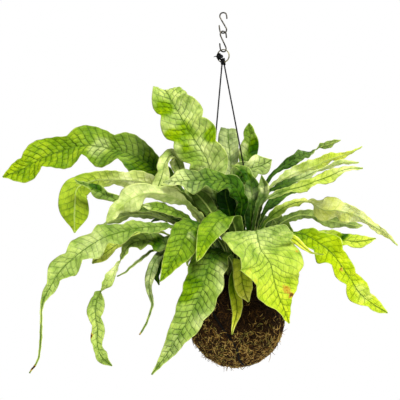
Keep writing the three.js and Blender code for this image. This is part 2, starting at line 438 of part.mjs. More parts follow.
const hangers = [
  { name: 'left', from: vector([-17.6, -0.4, 317.5]), to: leftTie.clone().add(vector([0.2, 0, 2.2])),
    tie: leftTie },
  { name: 'right', from: vector([-14.6, 0.4, 317.5]), to: rightTie.clone().add(vector([-0.4, 0, 2.2])),
    tie: rightTie },
];
const tieSolids = [];
for (const { name, from, to, tie } of hangers) {
  addPiece(ball, `hanger_cord_${name}`, hangerCord(from, to, cordRadius), cordFinish);
  const lump = new THREE.SphereGeometry(tieRadius, 10, 6).scale(...tieShape).translate(tie.x, tie.y, tie.z);
  tieSolids.push(toSolid(new THREE.SphereGeometry(tieDimple, 10, 6).translate(tie.x, tie.y, tie.z)));
  const tied = toSolid(lump).subtract(toSolid(hangerCord(from, to, cordRadius + clearance, clearance)))
    .subtract(toSolid(bindingGroove))
    .subtract(bindingEnds);
  addPiece(ball, `tie_${name}`, toGeometry(tied), cordFinish);
}

// Moss: a shell with an open mouth, a flat spot below, and a groove for the binding cord
const ballSegments = 22;
function arcPoints(radius, fromAngle, toAngle, steps) {
  const points = [];
  for (let k = 0; k <= steps; k++) {
    const angle = fromAngle + ((toAngle - fromAngle) * k) / steps;
    points.push(new THREE.Vector2(radius * Math.sin(angle), -radius * Math.cos(angle)));
  }
  return points;
}
const flatRadius = Math.sqrt(ballRadius ** 2 - flatSpotHeight ** 2);
const mouthAngle = Math.PI - Math.asin(mouthRadius / ballRadius);
const mossInside = ballRadius - mossThickness;
const innerMouthRadius = mouthRadius - 2;
const innerMouthAngle = Math.PI - Math.asin(innerMouthRadius / mossInside);
const insideSteps = 6;
const mossProfile = [
  new THREE.Vector2(0, flatSpotHeight),
  ...arcPoints(ballRadius, Math.asin(flatRadius / ballRadius), mouthAngle, 10),
  ...arcPoints(mossInside, 0, innerMouthAngle, insideSteps).reverse(),
];
mossProfile[mossProfile.length - 1].x = 0;
let moss = toSolid(new THREE.LatheGeometry(mossProfile, ballSegments).rotateX(Math.PI / 2))
  .subtract(toSolid(bindingGroove))
  .subtract(bindingEnds);
for (const solid of tieSolids) moss = moss.subtract(solid);
addPiece(ball, 'moss_shell', toGeometry(moss), mossFinish);

// Soil: it fills the moss, is mounded in the mouth, and has a plain hole for each stalk
const soilProfile = [
  ...arcPoints(soilRadius, 0, innerMouthAngle, insideSteps),
  new THREE.Vector2(innerMouthRadius - 1, soilRim),
  new THREE.Vector2(soilMound.radius, soilTop - soilMound.drop),
  new THREE.Vector2(0, soilTop),
];
soilProfile[0].x = 0;
let soil = toSolid(new THREE.LatheGeometry(soilProfile, ballSegments).rotateX(Math.PI / 2));
const holeHeight = 14;
for (const [, , [x, y]] of frondTable) {
  const hole = new THREE.CylinderGeometry(stalkHoleRadius, stalkHoleRadius, holeHeight, 5).rotateX(Math.PI / 2)
    .translate(x, y, stalkBottom - clearance + holeHeight / 2);
  soil = soil.subtract(toSolid(hole));
}
addPiece(ball, 'soil_core', toGeometry(soil), soilFinish);

// S-hooks: the wire's centre line, then both hooks, one hanging in the other
const hookRoute = [
  [4.9, 4.6], [4.6, 8.2], [hookHalfWidth - hookShoulder, hookShoulderHeight], [0, hookHalfHeight],
  [-hookHalfWidth + hookShoulder, hookShoulderHeight], [-hookHalfWidth, 8.4], [-2.6, 4.4], [0, 0], [2.6, -4.4],
  [hookHalfWidth, -8.4], [hookHalfWidth - hookShoulder, -hookShoulderHeight], [0, -hookHalfHeight],
  [-hookHalfWidth + hookShoulder, -hookShoulderHeight], [-4.6, -8.2], [-5.1, -4.6], [-5.3, -2.4],
];
const hookCurve = new THREE.CatmullRomCurve3(hookRoute.map(([x, z]) => new THREE.Vector3(x, 0, z)));
const upperHookTurn = radians(-20);
const lowerHookTurn = radians(34);
const upperHookHeight = -(hookHalfHeight - wireRadius);
const lowerHookHeight = upperHookHeight - 2 * hookHalfHeight + 2 * wireRadius + 2 * clearance;
const ringHeight = lowerHookHeight - hookHalfHeight + wireRadius + ringWireRadius + 4 * clearance - ringRadius;
for (const [name, height, turn] of [['upper_hook', upperHookHeight, upperHookTurn],
  ['lower_hook', lowerHookHeight, lowerHookTurn]]) {
  const hook = addPiece(part, name, tube(hookCurve, wireRadius, 28, 6), steelFinish);
  hook.position.z = height;
  hook.rotation.z = turn;
}

// Split ring: two turns of one wire
class RingCurve extends THREE.Curve {
  getPoint(t) {
    const angle = 1.5 * Math.PI + ringSweep * t;
    return new THREE.Vector3(ringRadius * Math.cos(angle), ringPitch * (2 * t - 1), ringRadius * Math.sin(angle));
  }
}
const ringTurn = radians(-22);
const ring = addPiece(part, 'split_ring', tube(new RingCurve(), ringWireRadius, 36, 5), steelFinish);
ring.position.z = ringHeight;
ring.rotation.z = ringTurn;

// Knot: lumps of wound cord round the ring's left side, joined to the lump that the cords leave
const ringHole = toSolid(new THREE.TorusGeometry(ringRadius, ringPitch + ringWireRadius + 2 * clearance, 6, 20)
  .rotateX(Math.PI / 2).rotateZ(ringTurn).translate(0, 0, ringHeight));
const knotLumps = [
  // centre [x, y, z] and half sizes [x, y, z], from the ring's centre
  [[-5.2, -0.6, -0.6], [4.6, 4.4, 4.2]],
  [[-1.6, -0.4, -2.8], [3.4, 3.6, 3.2]],
  [[0.2, 0, -7.4], [3.2, 3.4, 4.4]],
  [[-9.4, -1.2, -0.8], [2.2, 1.3, 1.3]],
];
let knot = null;
for (const [centre, half] of knotLumps) {
  const lump = toSolid(new THREE.SphereGeometry(1, 9, 5).scale(...half)
    .translate(centre[0], centre[1], centre[2] + ringHeight));
  knot = knot ? knot.add(lump) : lump;
}
knot = knot.subtract(ringHole);
for (const { from, to } of hangers) {
  knot = knot.subtract(toSolid(hangerCord(from, to, cordRadius + clearance, clearance))
    .translate(ballCentre.toArray()));
}
addPiece(part, 'ring_knot', toGeometry(knot), cordFinish);

export default part;
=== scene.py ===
# A kokedama: a strap-leaved fern in a ball of soil bound in moss, hung by two cords, a ring and two S-hooks.
# Numbers are millimetres from the ball's centre, unless a note says otherwise. Meshes have them in metres.
import math
from functools import partial

import bmesh
import bpy
import numpy as np
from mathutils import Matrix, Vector, kdtree, noise


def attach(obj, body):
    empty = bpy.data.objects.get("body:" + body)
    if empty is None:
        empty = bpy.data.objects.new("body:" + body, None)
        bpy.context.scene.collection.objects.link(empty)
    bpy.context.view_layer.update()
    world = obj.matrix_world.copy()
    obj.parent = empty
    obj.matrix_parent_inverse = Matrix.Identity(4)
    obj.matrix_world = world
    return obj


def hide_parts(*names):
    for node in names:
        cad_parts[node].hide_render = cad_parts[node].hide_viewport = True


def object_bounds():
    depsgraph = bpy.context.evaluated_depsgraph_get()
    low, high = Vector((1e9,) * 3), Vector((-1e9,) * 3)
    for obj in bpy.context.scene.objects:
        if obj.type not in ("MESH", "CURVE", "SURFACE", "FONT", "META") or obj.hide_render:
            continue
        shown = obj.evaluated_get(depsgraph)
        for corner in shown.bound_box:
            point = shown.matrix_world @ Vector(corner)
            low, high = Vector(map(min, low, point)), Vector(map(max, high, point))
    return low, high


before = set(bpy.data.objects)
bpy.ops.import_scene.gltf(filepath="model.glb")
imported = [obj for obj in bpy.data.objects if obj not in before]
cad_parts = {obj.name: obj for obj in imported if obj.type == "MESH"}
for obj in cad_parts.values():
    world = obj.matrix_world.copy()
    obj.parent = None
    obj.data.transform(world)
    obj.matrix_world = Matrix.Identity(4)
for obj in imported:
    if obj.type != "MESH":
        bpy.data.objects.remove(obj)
cadLow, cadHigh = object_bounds()

mm = 0.001
ballCentre = np.array((16, 0, -382))  # from the frame's origin, the inside of the upper hook's top bend
ballRadius = 60
hookPoint = np.zeros(3)

# Camera at the photograph's height and distance, from the frame's origin
cameraSet = {"place": (-29, -1500, -233.25), "lens": 108, "sensor": 36, "reach": 20000}


def addObject(name, data):
    added = bpy.data.objects.new(name, data)
    bpy.context.collection.objects.link(added)
    return added


def addCamera():
    data = bpy.data.cameras.new("camera")
    data.lens = cameraSet["lens"]
    data.sensor_width = cameraSet["sensor"]
    data.clip_end = cameraSet["reach"] * mm
    camera = addObject("camera", data)
    camera.location = Vector(cameraSet["place"]) * mm
    camera.rotation_euler = (math.radians(90), 0, 0)
    bpy.context.scene.camera = camera


addCamera()
print("camera placed")


# Shared helpers for colours and nodes
def linear(hexColour):
    channels = [int(hexColour[i : i + 2], 16) / 255 for i in (0, 2, 4)]
    return [c / 12.92 if c <= 0.04045 else ((c + 0.055) / 1.055) ** 2.4 for c in channels] + [1]


def addNode(tree, kind, inputs=(), stops=(), **options):
    # inputs go by name or in the sockets' order; a number or hex colour is set, and a node's output is linked
    node = tree.nodes.new("ShaderNode" + kind)
    for option, value in options.items():
        setattr(node, option, value)
    for socket, value in inputs.items() if isinstance(inputs, dict) else enumerate(inputs):
        if isinstance(value, bpy.types.NodeSocket):
            tree.links.new(value, node.inputs[socket])
        else:
            node.inputs[socket].default_value = linear(value) if isinstance(value, str) else value
    for number, (place, colour) in enumerate(stops):
        elements = node.color_ramp.elements
        element = elements[number] if number < 2 else elements.new(place)
        element.position = place
        element.color = linear(colour)
    return node.outputs


def emptyTree(owner):
    owner.use_nodes = True
    owner.node_tree.nodes.clear()
    return partial(addNode, owner.node_tree)


def newMaterial(name):
    material = bpy.data.materials.new(name)
    return material, emptyTree(material)


# Shared helpers for shapes
def smooth(value, low, high):
    share = np.clip((value - low) / (high - low), 0, 1)
    return share * share * (3 - 2 * share)


def unit(vectors):
    return vectors / np.maximum(np.linalg.norm(vectors, axis=-1, keepdims=True), 1e-12)


def lengthsTo(line):
    # the length along a line of points, up to each of them
    return np.concatenate(([0], np.cumsum(np.linalg.norm(np.diff(line, axis=0), axis=1))))


def routeSampler(points):
    # a cubic through the points, with the chord lengths as its knots
    points = np.array(points, float)
    knots = lengthsTo(points[:, :3])
    chords = np.linalg.norm(np.diff(points[:, :3], axis=0), axis=1)
    rises = np.diff(points, axis=0) / chords[:, None]
    before, after = chords[:-1, None], chords[1:, None]
    inner = (rises[:-1] * after + rises[1:] * before) / (before + after)
    slopes = np.concatenate((rises[:1], inner, rises[-1:]))

    def at(along):
        knot = np.asarray(along, float) * knots[-1]
        i = np.clip(np.searchsorted(knots, knot, side="left") - 1, 0, len(chords) - 1)
        span = chords[i][..., None]
        t = ((knot - knots[i]) / chords[i])[..., None]
        start = points[i] * (2 * t**3 - 3 * t**2 + 1) + slopes[i] * span * (t**3 - 2 * t**2 + t)
        return start + points[i + 1] * (3 * t**2 - 2 * t**3) + slopes[i + 1] * span * (t**3 - t**2)

    return at, knots[-1]


def newShape():
    bm = bmesh.new()
    bm.verts.layers.float.new("along")
    bm.verts.layers.float.new("turn")
    return bm


def addGrid(bm, places):
    # a grid rolled up: its corner (i, j) goes to places[i, j], and the first and last columns are welded
    rows, around = places.shape[0] - 1, places.shape[1] - 1
    along = bm.verts.layers.float["along"]
    turn = bm.verts.layers.float["turn"]
    seam = []
    for vert in bmesh.ops.create_grid(bm, x_segments=around, y_segments=rows, size=1)["verts"]:
        i = round((vert.co.y + 1) / 2 * rows)
        j = round((vert.co.x + 1) / 2 * around)
        vert.co = places[i, j]
        vert[along] = i / rows
        vert[turn] = j % around / around
        if j in (0, around):
            seam.append(vert)
    bmesh.ops.remove_doubles(bm, verts=seam, dist=1e-7)


def tubePlaces(line, radii, sides):
    # rings of points round a line of points, carried along it without twist
    ahead = unit(np.gradient(line, axis=0))
    side = np.cross(ahead[0], (0.31, 0.17, 0.93))  # a way that no wire or cord here starts in
    sideways = []
    for direction in ahead:
        side = side - direction * side.dot(direction)
        side = side / np.linalg.norm(side)
        sideways.append(side)
    across = np.array(sideways)
    up = np.cross(ahead, across)
    angle = np.linspace(0, 2 * math.pi, sides + 1)[None, :, None]
    ring = across[:, None] * np.cos(angle) + up[:, None] * np.sin(angle)
    return line[:, None] + ring * np.asarray(radii, float).reshape(-1, 1, 1)


def addTube(bm, line, radii, sides, centre):
    addGrid(bm, (tubePlaces(line, radii, sides) + centre) * mm)


def addPiece(name, bm, materials, nodes=()):
    mesh = bpy.data.meshes.new(name)
    bm.to_mesh(mesh)
    bm.free()
    return placePiece(name, mesh, materials, nodes)


def closedPiece(name, bm, materials, nodes):
    rims = [edge for edge in bm.edges if edge.is_boundary]
    bmesh.ops.holes_fill(bm, edges=rims, sides=0)
    bmesh.ops.recalc_face_normals(bm, faces=bm.faces)
    return addPiece(name, bm, materials, nodes)


def placePiece(name, mesh, materials, nodes=()):
    for material in materials:
        mesh.materials.append(material)
    mesh.polygons.foreach_set("use_smooth", [True] * len(mesh.polygons))
    piece = addObject(name, mesh)
    if nodes:
        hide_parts(*nodes)
    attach(piece, "root")
    return piece


# Cords: black polyester, twisted of three strands, which shows as a slim dark line with a fine broken gloss
cordSet = {
    "diameter": 2,
    "strands": 3,
    "strandRadius": 0.47,
    "strandOffset": 0.53,
    "pitch": 7,  # of the strands' twist
    "sides": 7,
    "stepsPerTurn": 10,
    "stops": ((0.3, "040505"), (0.55, "0a0b0c"), (0.75, "1b1d1e")),
    "specular": 0.08,
}


def cordMaterial():
    # waxed polyester, twisted: near black, with fibres that catch a thin satin light
    material, add = newMaterial("waxedPolyesterCord")
    place = add("TexCoord")["Object"]
    # fibres of 0.25 mm, and worn stretches of 6 mm
    fibres = add("TexNoise", {"Vector": place, "Scale": 4000, "Detail": 2})["Fac"]
    wear = add("TexNoise", {"Vector": place, "Scale": 160, "Detail": 2})["Fac"]
    colour = add("ValToRGB", {"Fac": wear}, cordSet["stops"])["Color"]
    rough = add("MapRange", (fibres, 0, 1, 0.4, 0.75))["Result"]
    bump = add("Bump", {"Height": fibres, "Strength": 0.5, "Distance": 0.0001})["Normal"]
    shader = add("BsdfPrincipled", {"Base Color": colour, "Roughness": rough, "Normal": bump, "IOR": 1.5,
                                    "Specular IOR Level": cordSet["specular"]})["BSDF"]
    add("OutputMaterial", {"Surface": shader})
    return material


cordFinish = cordMaterial()


def strandLines(line):
    # the strands' centre lines, wound round the cord's own
    turn = 2 * math.pi * lengthsTo(line) / cordSet["pitch"]
    ring = tubePlaces(line, 1, 1)[:, 0] - line
    other = np.cross(unit(np.gradient(line, axis=0)), ring)
    for strand in range(cordSet["strands"]):
        angle = (turn + 2 * math.pi * strand / cordSet["strands"])[:, None]
        yield line + cordSet["strandOffset"] * (ring * np.cos(angle) + other * np.sin(angle))


def makeCord(name, route, node):
    at, length = routeSampler(route)
    steps = int(length / cordSet["pitch"] * cordSet["stepsPerTurn"])
    line = at(np.linspace(0, 1, steps + 1))
    if node == "binding_cord":
        line = unit(line) * bindingSet["lineRadius"]
    bm = newShape()
    for strand in strandLines(line):
        addTube(bm, strand, cordSet["strandRadius"], cordSet["sides"], ballCentre)
    cord = closedPiece(name, bm, [cordFinish], [node])
    real = lengthsTo(line)[-1]
    print(name, "is", round(real), "mm long")
    return line


# The binding goes down the front from the left tie, under the ball, to the right tie and back behind
bindingSet = {
    "lineRadius": ballRadius - 0.4,
    "route": (
        (-42, -1.2, 44), (-43, -10, 41), (-40, -26, 36), (-35, -41, 25), (-27, -52, 9), (-17, -56.6, -6.6),
        (-10, -56.6, -15.6), (-5, -55, -23), (0, -50, -33), (3, -38, -46), (9, -24, -54), (20, -8, -55.5),
        (34, 2, -49), (50, 10, -31), (58, 12, -9), (56, 8, 20), (44, 3, 42), (37, 1, 48.5), (31, 22, 47),
        (20, 40, 42), (0, 48, 37), (-22, 42, 38), (-36, 24, 43), (-42, 8, 43), (-42, 1.2, 44),
    ),
}
hangerSet = {
    "left": ((-17.6, -0.4, 317.5), (-41.3, 0, 48.2)),
    "right": ((-14.6, 0.4, 317.5), (36.6, 0, 50.7)),
    "steps": 16,
}

bindingLine = makeCord("bindingCord", bindingSet["route"], "binding_cord")
for side in ("left", "right"):
    top, bottom = np.array(hangerSet[side])
    between = [top + (bottom - top) * share for share in np.linspace(0, 1, hangerSet["steps"])]
    makeCord(f"hangerCord_{side}", between, f"hanger_cord_{side}")
print("cords made")


# Fronds. Each has its leaf's slot, its root on the soil, its heading from above in degrees (0 right, 90
# back), the waves along a margin, the depths of waves (ruffle) and lobes as shares of the half width, and
# the rise of its halves from the midrib in degrees. Then come its looks: the strength of its net, stops
# from root to tip of tone (deep green at 0, yellow-green at 1) and of pale (none at 0, washed out at 1),
# which is partly the blade's own paleness and partly painted sheen where light falls on it, and patches
# of (kind, x, z, radius, strength), where a pale patch is a painted highlight. Last is its path of (x, y,
# z, half width, turn about the path in degrees).
frondColumns = (
    "leaf", "root", "heading", "waves", "ruffle", "lobes", "rise", "net", "tone", "pale", "patches", "path",
)
frondRows = {
    "far_left": ("dark", (-14, 12), 180, 6, 0.26, 0.28, 12, 1, (0.3, 0.28, 0.31, 0.38, 0.46, 0.54, 0.6),
        (0, 0, 0.1, 0.02, 0),
        (("pale", -176, 217, 17, 0.3), ("dark", -112, 190, 30, 0.12)),
        ((-20, 24, 82, 2.6, 0), (-40, 38, 122, 5, -20), (-82, 48, 168, 12, -45), (-122, 56, 201, 23, -60),
        (-161, 59, 215, 25, -65), (-193, 58, 219, 24, -70), (-224, 52, 212, 22, -70),
        (-252, 46, 200, 22, -70), (-276, 38, 186, 16, -70), (-297, 32, 178, 1, -65))),
    "upright": ("pale", (-7, 0), 90, 8, 0.22, 0.14, 10, 0.85, (0.3, 0.42, 0.5, 0.54, 0.55, 0.55),
        (0.1, 0.28, 0.36, 0.28, 0.3, 0.28),
        (("pale", -45, 205, 24, 0.15), ("pale", -77, 205, 14, 0.2), ("green", -93, 261, 20, 0.35),
        ("green", -28, 232, 17, 0.5), ("green", -82, 224, 16, 0.45), ("green", -57, 200, 20, 0.35),
        ("green", -64, 231, 18, 0.3), ("pale", -60, 262, 16, 0.15), ("brown", -82, 219, 2.5, 0.6)),
        ((-9, -4, 82, 3, 0), (-17, -10, 118, 6, 0), (-29, -21, 167, 19, 0), (-36, -26, 197, 24, -5),
        (-53, -23, 225, 28, -8), (-68, -16, 250, 27, -8), (-81, -6, 273, 23, -4), (-89, 8, 286, 17, 0),
        (-92, 26, 280, 12, 0), (-95, 36, 262, 1, 0))),
    "left_folded": ("bright", (-17.5, 6), 180, 6, 0.22, 0.25, 10, 0.7, (0.55, 0.8, 0.9, 0.64, 0.6),
        (0.5, 0.9, 1, 0.05, 0),
        (("pale", -120, 174, 40, 0.3),),
        ((-24, 11, 82, 2.6, 0), (-42, 19, 118, 5, 30), (-66, 19, 148, 8, 50), (-107, 11, 169, 12, 60),
        (-150, 1, 174, 12.5, 62), (-180, -8, 172, 11, 68), (-197, -15, 163, 20, 78),
        (-199, -20, 146, 18.5, 88), (-200, -20, 126, 13.5, 88), (-200, -18, 108, 1, 88))),
    "left_twisted": ("dark", (-14, 0), 180, 6, 0.34, 0.25, 14, 1, (0.25, 0.35, 0.4), (0.1, 0.15, 0.1),
        (("dark", -172, 166, 9, 0.6),),
        ((-24, -4, 80, 2.6, 0), (-60, -18, 120, 4, -20), (-110, -30, 136, 5, -50), (-142, -33, 146, 6, -70),
        (-158, -35, 154, 6.5, -90), (-170, -37, 160, 8, -75), (-180, -39, 165, 4.5, -60),
        (-190, -41, 168, 4, -40), (-198, -43, 174, 0.8, -20))),
    "left_pale": ("pale", (-10.5, -6), 180, 5, 0.36, 0.3, 12, 0.35, (0.35, 0.56, 0.6), (0.3, 0.65, 0.7),
        (("green", -140, 140, 9, 0.5),),
        ((-15, -16, 86, 2.6, 0), (-42, -32, 125, 5, 20), (-60, -44, 142, 7, 40), (-85, -56, 155, 10, 60),
        (-116, -68, 155, 13, 70), (-131, -73, 147, 14, 70), (-144, -77, 136, 9, 75),
        (-156, -80, 123, 0.8, 75))),
    "left_olive": ("dark", (-21, 0), 180, 4, 0.28, 0.2, 12, 0.7, (0.1, 0.22, 0.32), (0.1, 0.25, 0.25), (),
        ((-28, -4, 77, 2.6, 0), (-50, -8, 99, 4, 10), (-80, -16, 120, 5, 30), (-111, -24, 131, 6.5, 50),
        (-131, -26, 130, 7, 55), (-150, -28, 124, 5, 55), (-163, -30, 119, 0.8, 55))),
    "left_short": ("bright", (-17.5, -6), 180, 3, 0.26, 0.2, 10, 0.8, (0.25, 0.38, 0.48), (0, 0.05, 0.1),
        (("pale", -110, 142, 8, 0.5),),
        ((-22, -12, 80, 2.6, 0), (-40, -24, 105, 4, -20), (-60, -35, 125, 5, -35), (-76, -44, 134, 6, -50),
        (-92, -50, 138, 7.5, -65), (-105, -52, 141, 6, -70), (-115, -53, 143, 0.8, -70))),
    "lower_left": ("bright", (-24.5, -6), 212, 9, 0.32, 0.28, 12, 0.65, (0.18, 0.3, 0.44, 0.48, 0.5, 0.45),
        (0, 0.08, 0.15, 0.22, 0.25, 0.3),
        (("pale", -168, 96, 20, 0.25), ("brown", -234, -38, 6, 0.9)),
        ((-32, -10, 78, 2.8, 0), (-60, -32, 108, 5, -20), (-105, -62, 116, 8, -50), (-137, -80, 111, 12, -60),
        (-164, -98, 101, 16, -60), (-184, -112, 87, 15, -60), (-201, -124, 72, 14, -60),
        (-213, -134, 54, 9, -60), (-222, -142, 35, 3, -50), (-224, -148, 11, 1.7, -40),
        (-224, -152, -12, 1.6, -40), (-226, -154, -29, 1.5, -40), (-236, -157, -45, 0.8, -40))),
    "lobed_small": ("bright", (-21, -12), 205, 5, 0.35, 0.3, 12, 0.6, (0.4, 0.7, 0.85), (0.1, 0.25, 0.25), (),
        ((-30, -14, 70, 2.4, 0), (-70, -20, 98, 3, -20), (-112, -28, 112, 3.2, -40), (-139, -38, 99, 6, -60),
        (-156, -46, 87, 8, -65), (-168, -50, 79, 6, -65), (-175, -52, 72, 0.8, -65))),
    "long_twist": ("bright", (-14, -12), 205, 10, 0.3, 0.25, 10, 0.7, (0.2, 0.35, 0.45, 0.5, 0.5, 0.45),
        (0.1, 0.2, 0.15, 0.25, 0.2, 0.15),
        (("pale", -147, 66, 16, 0.5), ("dark", -98, 95, 12, 0.15), ("brown", -172, -8, 4, 0.9)),
        ((-24, -22, 70, 2.6, 0), (-55, -32, 84, 6, -40), (-88, -36, 95, 11, -60), (-109, -42, 100, 12.5, -60),
        (-128, -52, 95, 8, -50), (-136, -60, 84, 6, -10), (-142, -66, 72, 5, 30), (-150, -74, 58, 7, 100),
        (-158, -82, 46, 6, 40), (-166, -90, 31, 8.5, -50), (-167, -98, 15, 9, -75),
        (-164, -106, -2, 7.5, -60), (-164, -112, -17, 6.5, -90), (-160, -116, -30, 7.5, -75),
        (-146, -120, -42, 0.8, -70))),
    "needle": ("dark", (-24.5, 6), 205, 1, 0.1, 0.05, 10, 0.2, (0.25, 0.35), (0.3, 0.5), (),
        ((-34, 5, 70, 2, 0), (-64, -8, 84, 2, 0), (-104, -28, 86, 2.2, -40), (-116, -33, 77, 2.4, -50),
        (-129, -38, 67, 1.8, -50), (-137, -40, 60, 1.3, -50), (-146, -42, 56, 0.8, -50))),
    "hanging_left": ("dark", (-17.5, -18), 200, 5, 0.28, 0.2, 14, 0.6, (0.15, 0.22, 0.28), (0.1, 0.25, 0.3),
        (("pale", -101, 50, 14, 0.3), ("brown", -118, -12, 5, 0.7)),
        ((-28, -20, 66, 2.6, 0), (-60, -22, 78, 4, -20), (-88, -28, 82, 5, -40), (-98, -42, 77, 6, -60),
        (-103, -56, 64, 6, -60), (-106, -60, 50, 5, -75), (-105, -63, 36, 3.5, -60),
        (-102, -65, 25, 1.8, -60), (-105, -67, 12, 1.6, -60), (-111, -69, -2, 1.4, -60),
        (-117, -70, -12, 0.8, -60))),
    "hanging_dark": ("dark", (-21, 12), 190, 2, 0.2, 0.1, 14, 0.4, (0.1, 0.15), (0, 0), (),
        ((-32, 14, 76, 2.4, 0), (-46, 12, 86, 3, -10), (-68, 3, 90, 3, -20), (-90, -8, 82, 4, -50),
        (-96, -15, 68, 5, -60), (-98, -20, 55, 4.5, -60), (-95, -22, 44, 0.8, -60))),
    "front_left": ("bright", (-10.5, -18), 221, 3, 0.14, 0.1, 14, 0.85, (0.3, 0.34, 0.44, 0.52), (0, 0.05, 0),
        (("pale", -56, 106, 7, 0.35), ("dark", -36, 108, 16, 0.12)),
        ((-16, -26, 90, 3.5, 0), (-36, -42, 111, 9, -20), (-53, -50, 117, 14, -35), (-60, -60, 111, 17, -40),
        (-65, -69, 100, 19, -40), (-70, -77, 87, 17, -40), (-78, -83, 74, 12, -40), (-86, -88, 61, 6, -40),
        (-92, -91, 53, 0.8, -40))),
    "front_point": ("bright", (0, -12), 238, 3, 0.16, 0.12, 12, 0.6, (0.3, 0.34, 0.44, 0.56), (0, 0.04, 0),
        (("brown", -47, 82, 3.5, 0.3), ("pale", -20, 112, 12, 0.1)),
        ((1, -26, 82, 3.5, 0), (-1, -42, 108, 9, 0), (-9, -52, 127, 14, -10), (-22, -64, 124, 16, -20),
        (-32, -76, 112, 15, -30), (-38, -86, 102, 12, -35), (-43, -94, 92, 8, -35), (-46, -100, 84, 5, -35),
        (-49, -104, 77, 0.8, -35))),
    "front_big": ("dark", (-3.5, -18), 224, 8, 0.14, 0.06, 14, 1, (0.24, 0.38, 0.48, 0.46, 0.44),
        (0, 0.05, 0.1, 0.15, 0.25),
        (("pale", -14, 56, 20, 0.45), ("pale", -34, 4, 24, 0.3), ("pale", -74, -24, 18, 0.2),
        ("dark", -62, 46, 22, 0.15)),
        ((-6, -30, 74, 4, 0), (-18, -48, 86, 13.5, -15), (-29, -60, 81, 21.5, -30), (-36, -72, 65, 23, -38),
        (-41, -82, 46, 23.5, -40), (-49, -90, 27, 22, -40), (-60, -98, 6, 18, -40), (-74, -105, -16, 12, -40),
        (-89, -111, -38, 5, -40), (-101, -114, -53, 0.8, -40))),
    "front_small": ("bright", (10.5, -18), 290, 2, 0.14, 0.12, 16, 0.7, (0.9, 1, 1), (0.1, 0.2, 0.2), (),
        ((9, -32, 70, 5, 0), (6, -46, 76, 10.5, 5), (4.5, -56, 67, 12.5, 8), (5, -62, 53, 12.5, 10),
        (8, -66, 39, 9.5, 8), (13, -68, 27, 0.8, 5))),
    "front_narrow": ("dark", (3.5, -18), 262, 2, 0.12, 0.08, 18, 0.5, (0.3, 0.7, 0.95, 1), (0, 0, 0.1, 0.15),
        (),
        ((0, -30, 64, 3.5, 0), (-4, -42, 56, 5, 0), (-5, -50, 42, 6, 0), (-1, -59, 25, 7.5, 0),
        (-1, -65, 12, 5.5, 0), (-5, -67, -2, 2.6, 0), (-7, -67, -12, 0.8, 0))),
    "front_right": ("pale", (17.5, -18), 295, 5, 0.12, 0.12, 8, 0.75, (0.4, 0.46, 0.56, 0.7, 0.78),
        (0.32, 0.32, 0.2, 0.08, 0),
        (("pale", 28, 104, 24, 0.12), ("brown", 61, 38, 5, 0.7), ("tan", 56, 45, 9, 0.9),
        ("tan", 12, 66, 7, 0.55), ("tan", 19, 55, 6, 0.6), ("brown", 70, 88, 3, 0.5)),
        ((17, -28, 80, 5, 0), (18, -40, 101, 21, 5), (22, -54, 111, 35.5, 10), (24, -70, 102, 41.5, 10),
        (27, -84, 89, 42.5, 10), (37, -94, 74, 39.5, 5), (41, -100, 55, 34.5, 0), (46.5, -103, 36, 23, -5),
        (53, -104, 20, 10, -5), (58.5, -104, 5, 0.8, -5))),
    "lower_right": ("bright", (24.5, -6), 335, 7, 0.28, 0.22, 10, 0.6, (0.2, 0.44, 0.64, 0.76, 0.84),
        (0.08, 0.02, 0, 0.08),
        (("brown", 124, 66, 4, 0.5), ("green", 96, 98, 12, 0.3), ("pale", 150, 38, 14, 0.25)),
        ((32, -14, 80, 2.8, 0), (46, -24, 101, 3, 10), (65, -34, 107, 3.5, 30), (80, -42, 107, 8, 50),
        (98, -50, 97, 17, 60), (114, -58, 84, 18, 62), (124, -64, 70, 12, 60), (134, -68, 55, 12.5, 60),
        (144, -72, 39, 13, 60), (160, -76, 25, 9, 60), (177, -80, 15, 0.8, 60))),
    "right_behind": ("bright", (24.5, 6), 350, 5, 0.28, 0.22, 10, 0.6, (0.3, 0.5, 0.66, 0.78),
        (0.05, 0.1, 0.1),
        (("dark", 130, 106, 7, 1),),
        ((36, 6, 74, 2.6, 0), (54, 0, 95, 3, 10), (74, -14, 106, 4, 40), (99, -28, 105, 8, 60),
        (122, -38, 101, 10, 65), (144, -44, 98, 9, 65), (168, -48, 102, 0.8, 65))),
    "right_long": ("pale", (17.5, 6), 0, 7, 0.3, 0.22, 12, 0.5, (0.35, 0.6, 0.95, 1, 1),
        (0.1, 0.3, 0.5, 0.7, 0.9),
        (("pale", 140, 126, 24, 0.25), ("pale", 100, 146, 12, 0.4)),
        ((25, 10, 84, 2.8, 0), (36, 12, 116, 4.5, 30), (48, 12, 130, 6, 55), (65, 10, 141, 6.5, 60),
        (81, 6, 146, 5.5, 40), (93, 2, 145, 7, -10), (107, -4, 137, 15, -60), (128, -12, 135, 14.5, -65),
        (146, -18, 130, 10, -60), (161, -24, 121, 6, -55), (178, -30, 110, 5, -50),
        (196, -36, 93, 0.8, -50))),
    "right_second": ("dark", (21, 12), 5, 5, 0.26, 0.2, 12, 0.6, (0.15, 0.3, 0.4), (0.05, 0.1, 0.3), (),
        ((29, 17, 82, 2.8, 0), (47, 30, 109, 4, -30), (64, 44, 122, 6, -50), (82, 54, 129, 7, -60),
        (101, 62, 128, 8, -60), (120, 67, 123, 9, -60), (139, 70, 119, 10, -60), (155, 72, 116, 7, -60),
        (168, 72, 115, 0.8, -60))),
    "right_dark": ("dark", (7, 12), 20, 6, 0.36, 0.3, 14, 1, (0.05, 0.1, 0.15, 0.42), (0, 0, 0.02, 0.2), (),
        ((12, 18, 84, 2.8, 0), (27, 32, 138, 3.5, 20), (40, 44, 170, 3.5, 50), (50, 51, 182, 3.5, 60),
        (60, 56, 190, 3.5, 60), (69, 60, 196, 6, 60), (79, 65, 202, 8.5, 60), (90, 70, 207, 10, 60),
        (101, 76, 211, 4, 10), (118, 85, 220, 5.5, -50), (130, 90, 224, 5, -60), (142, 94, 228, 0.8, -60))),
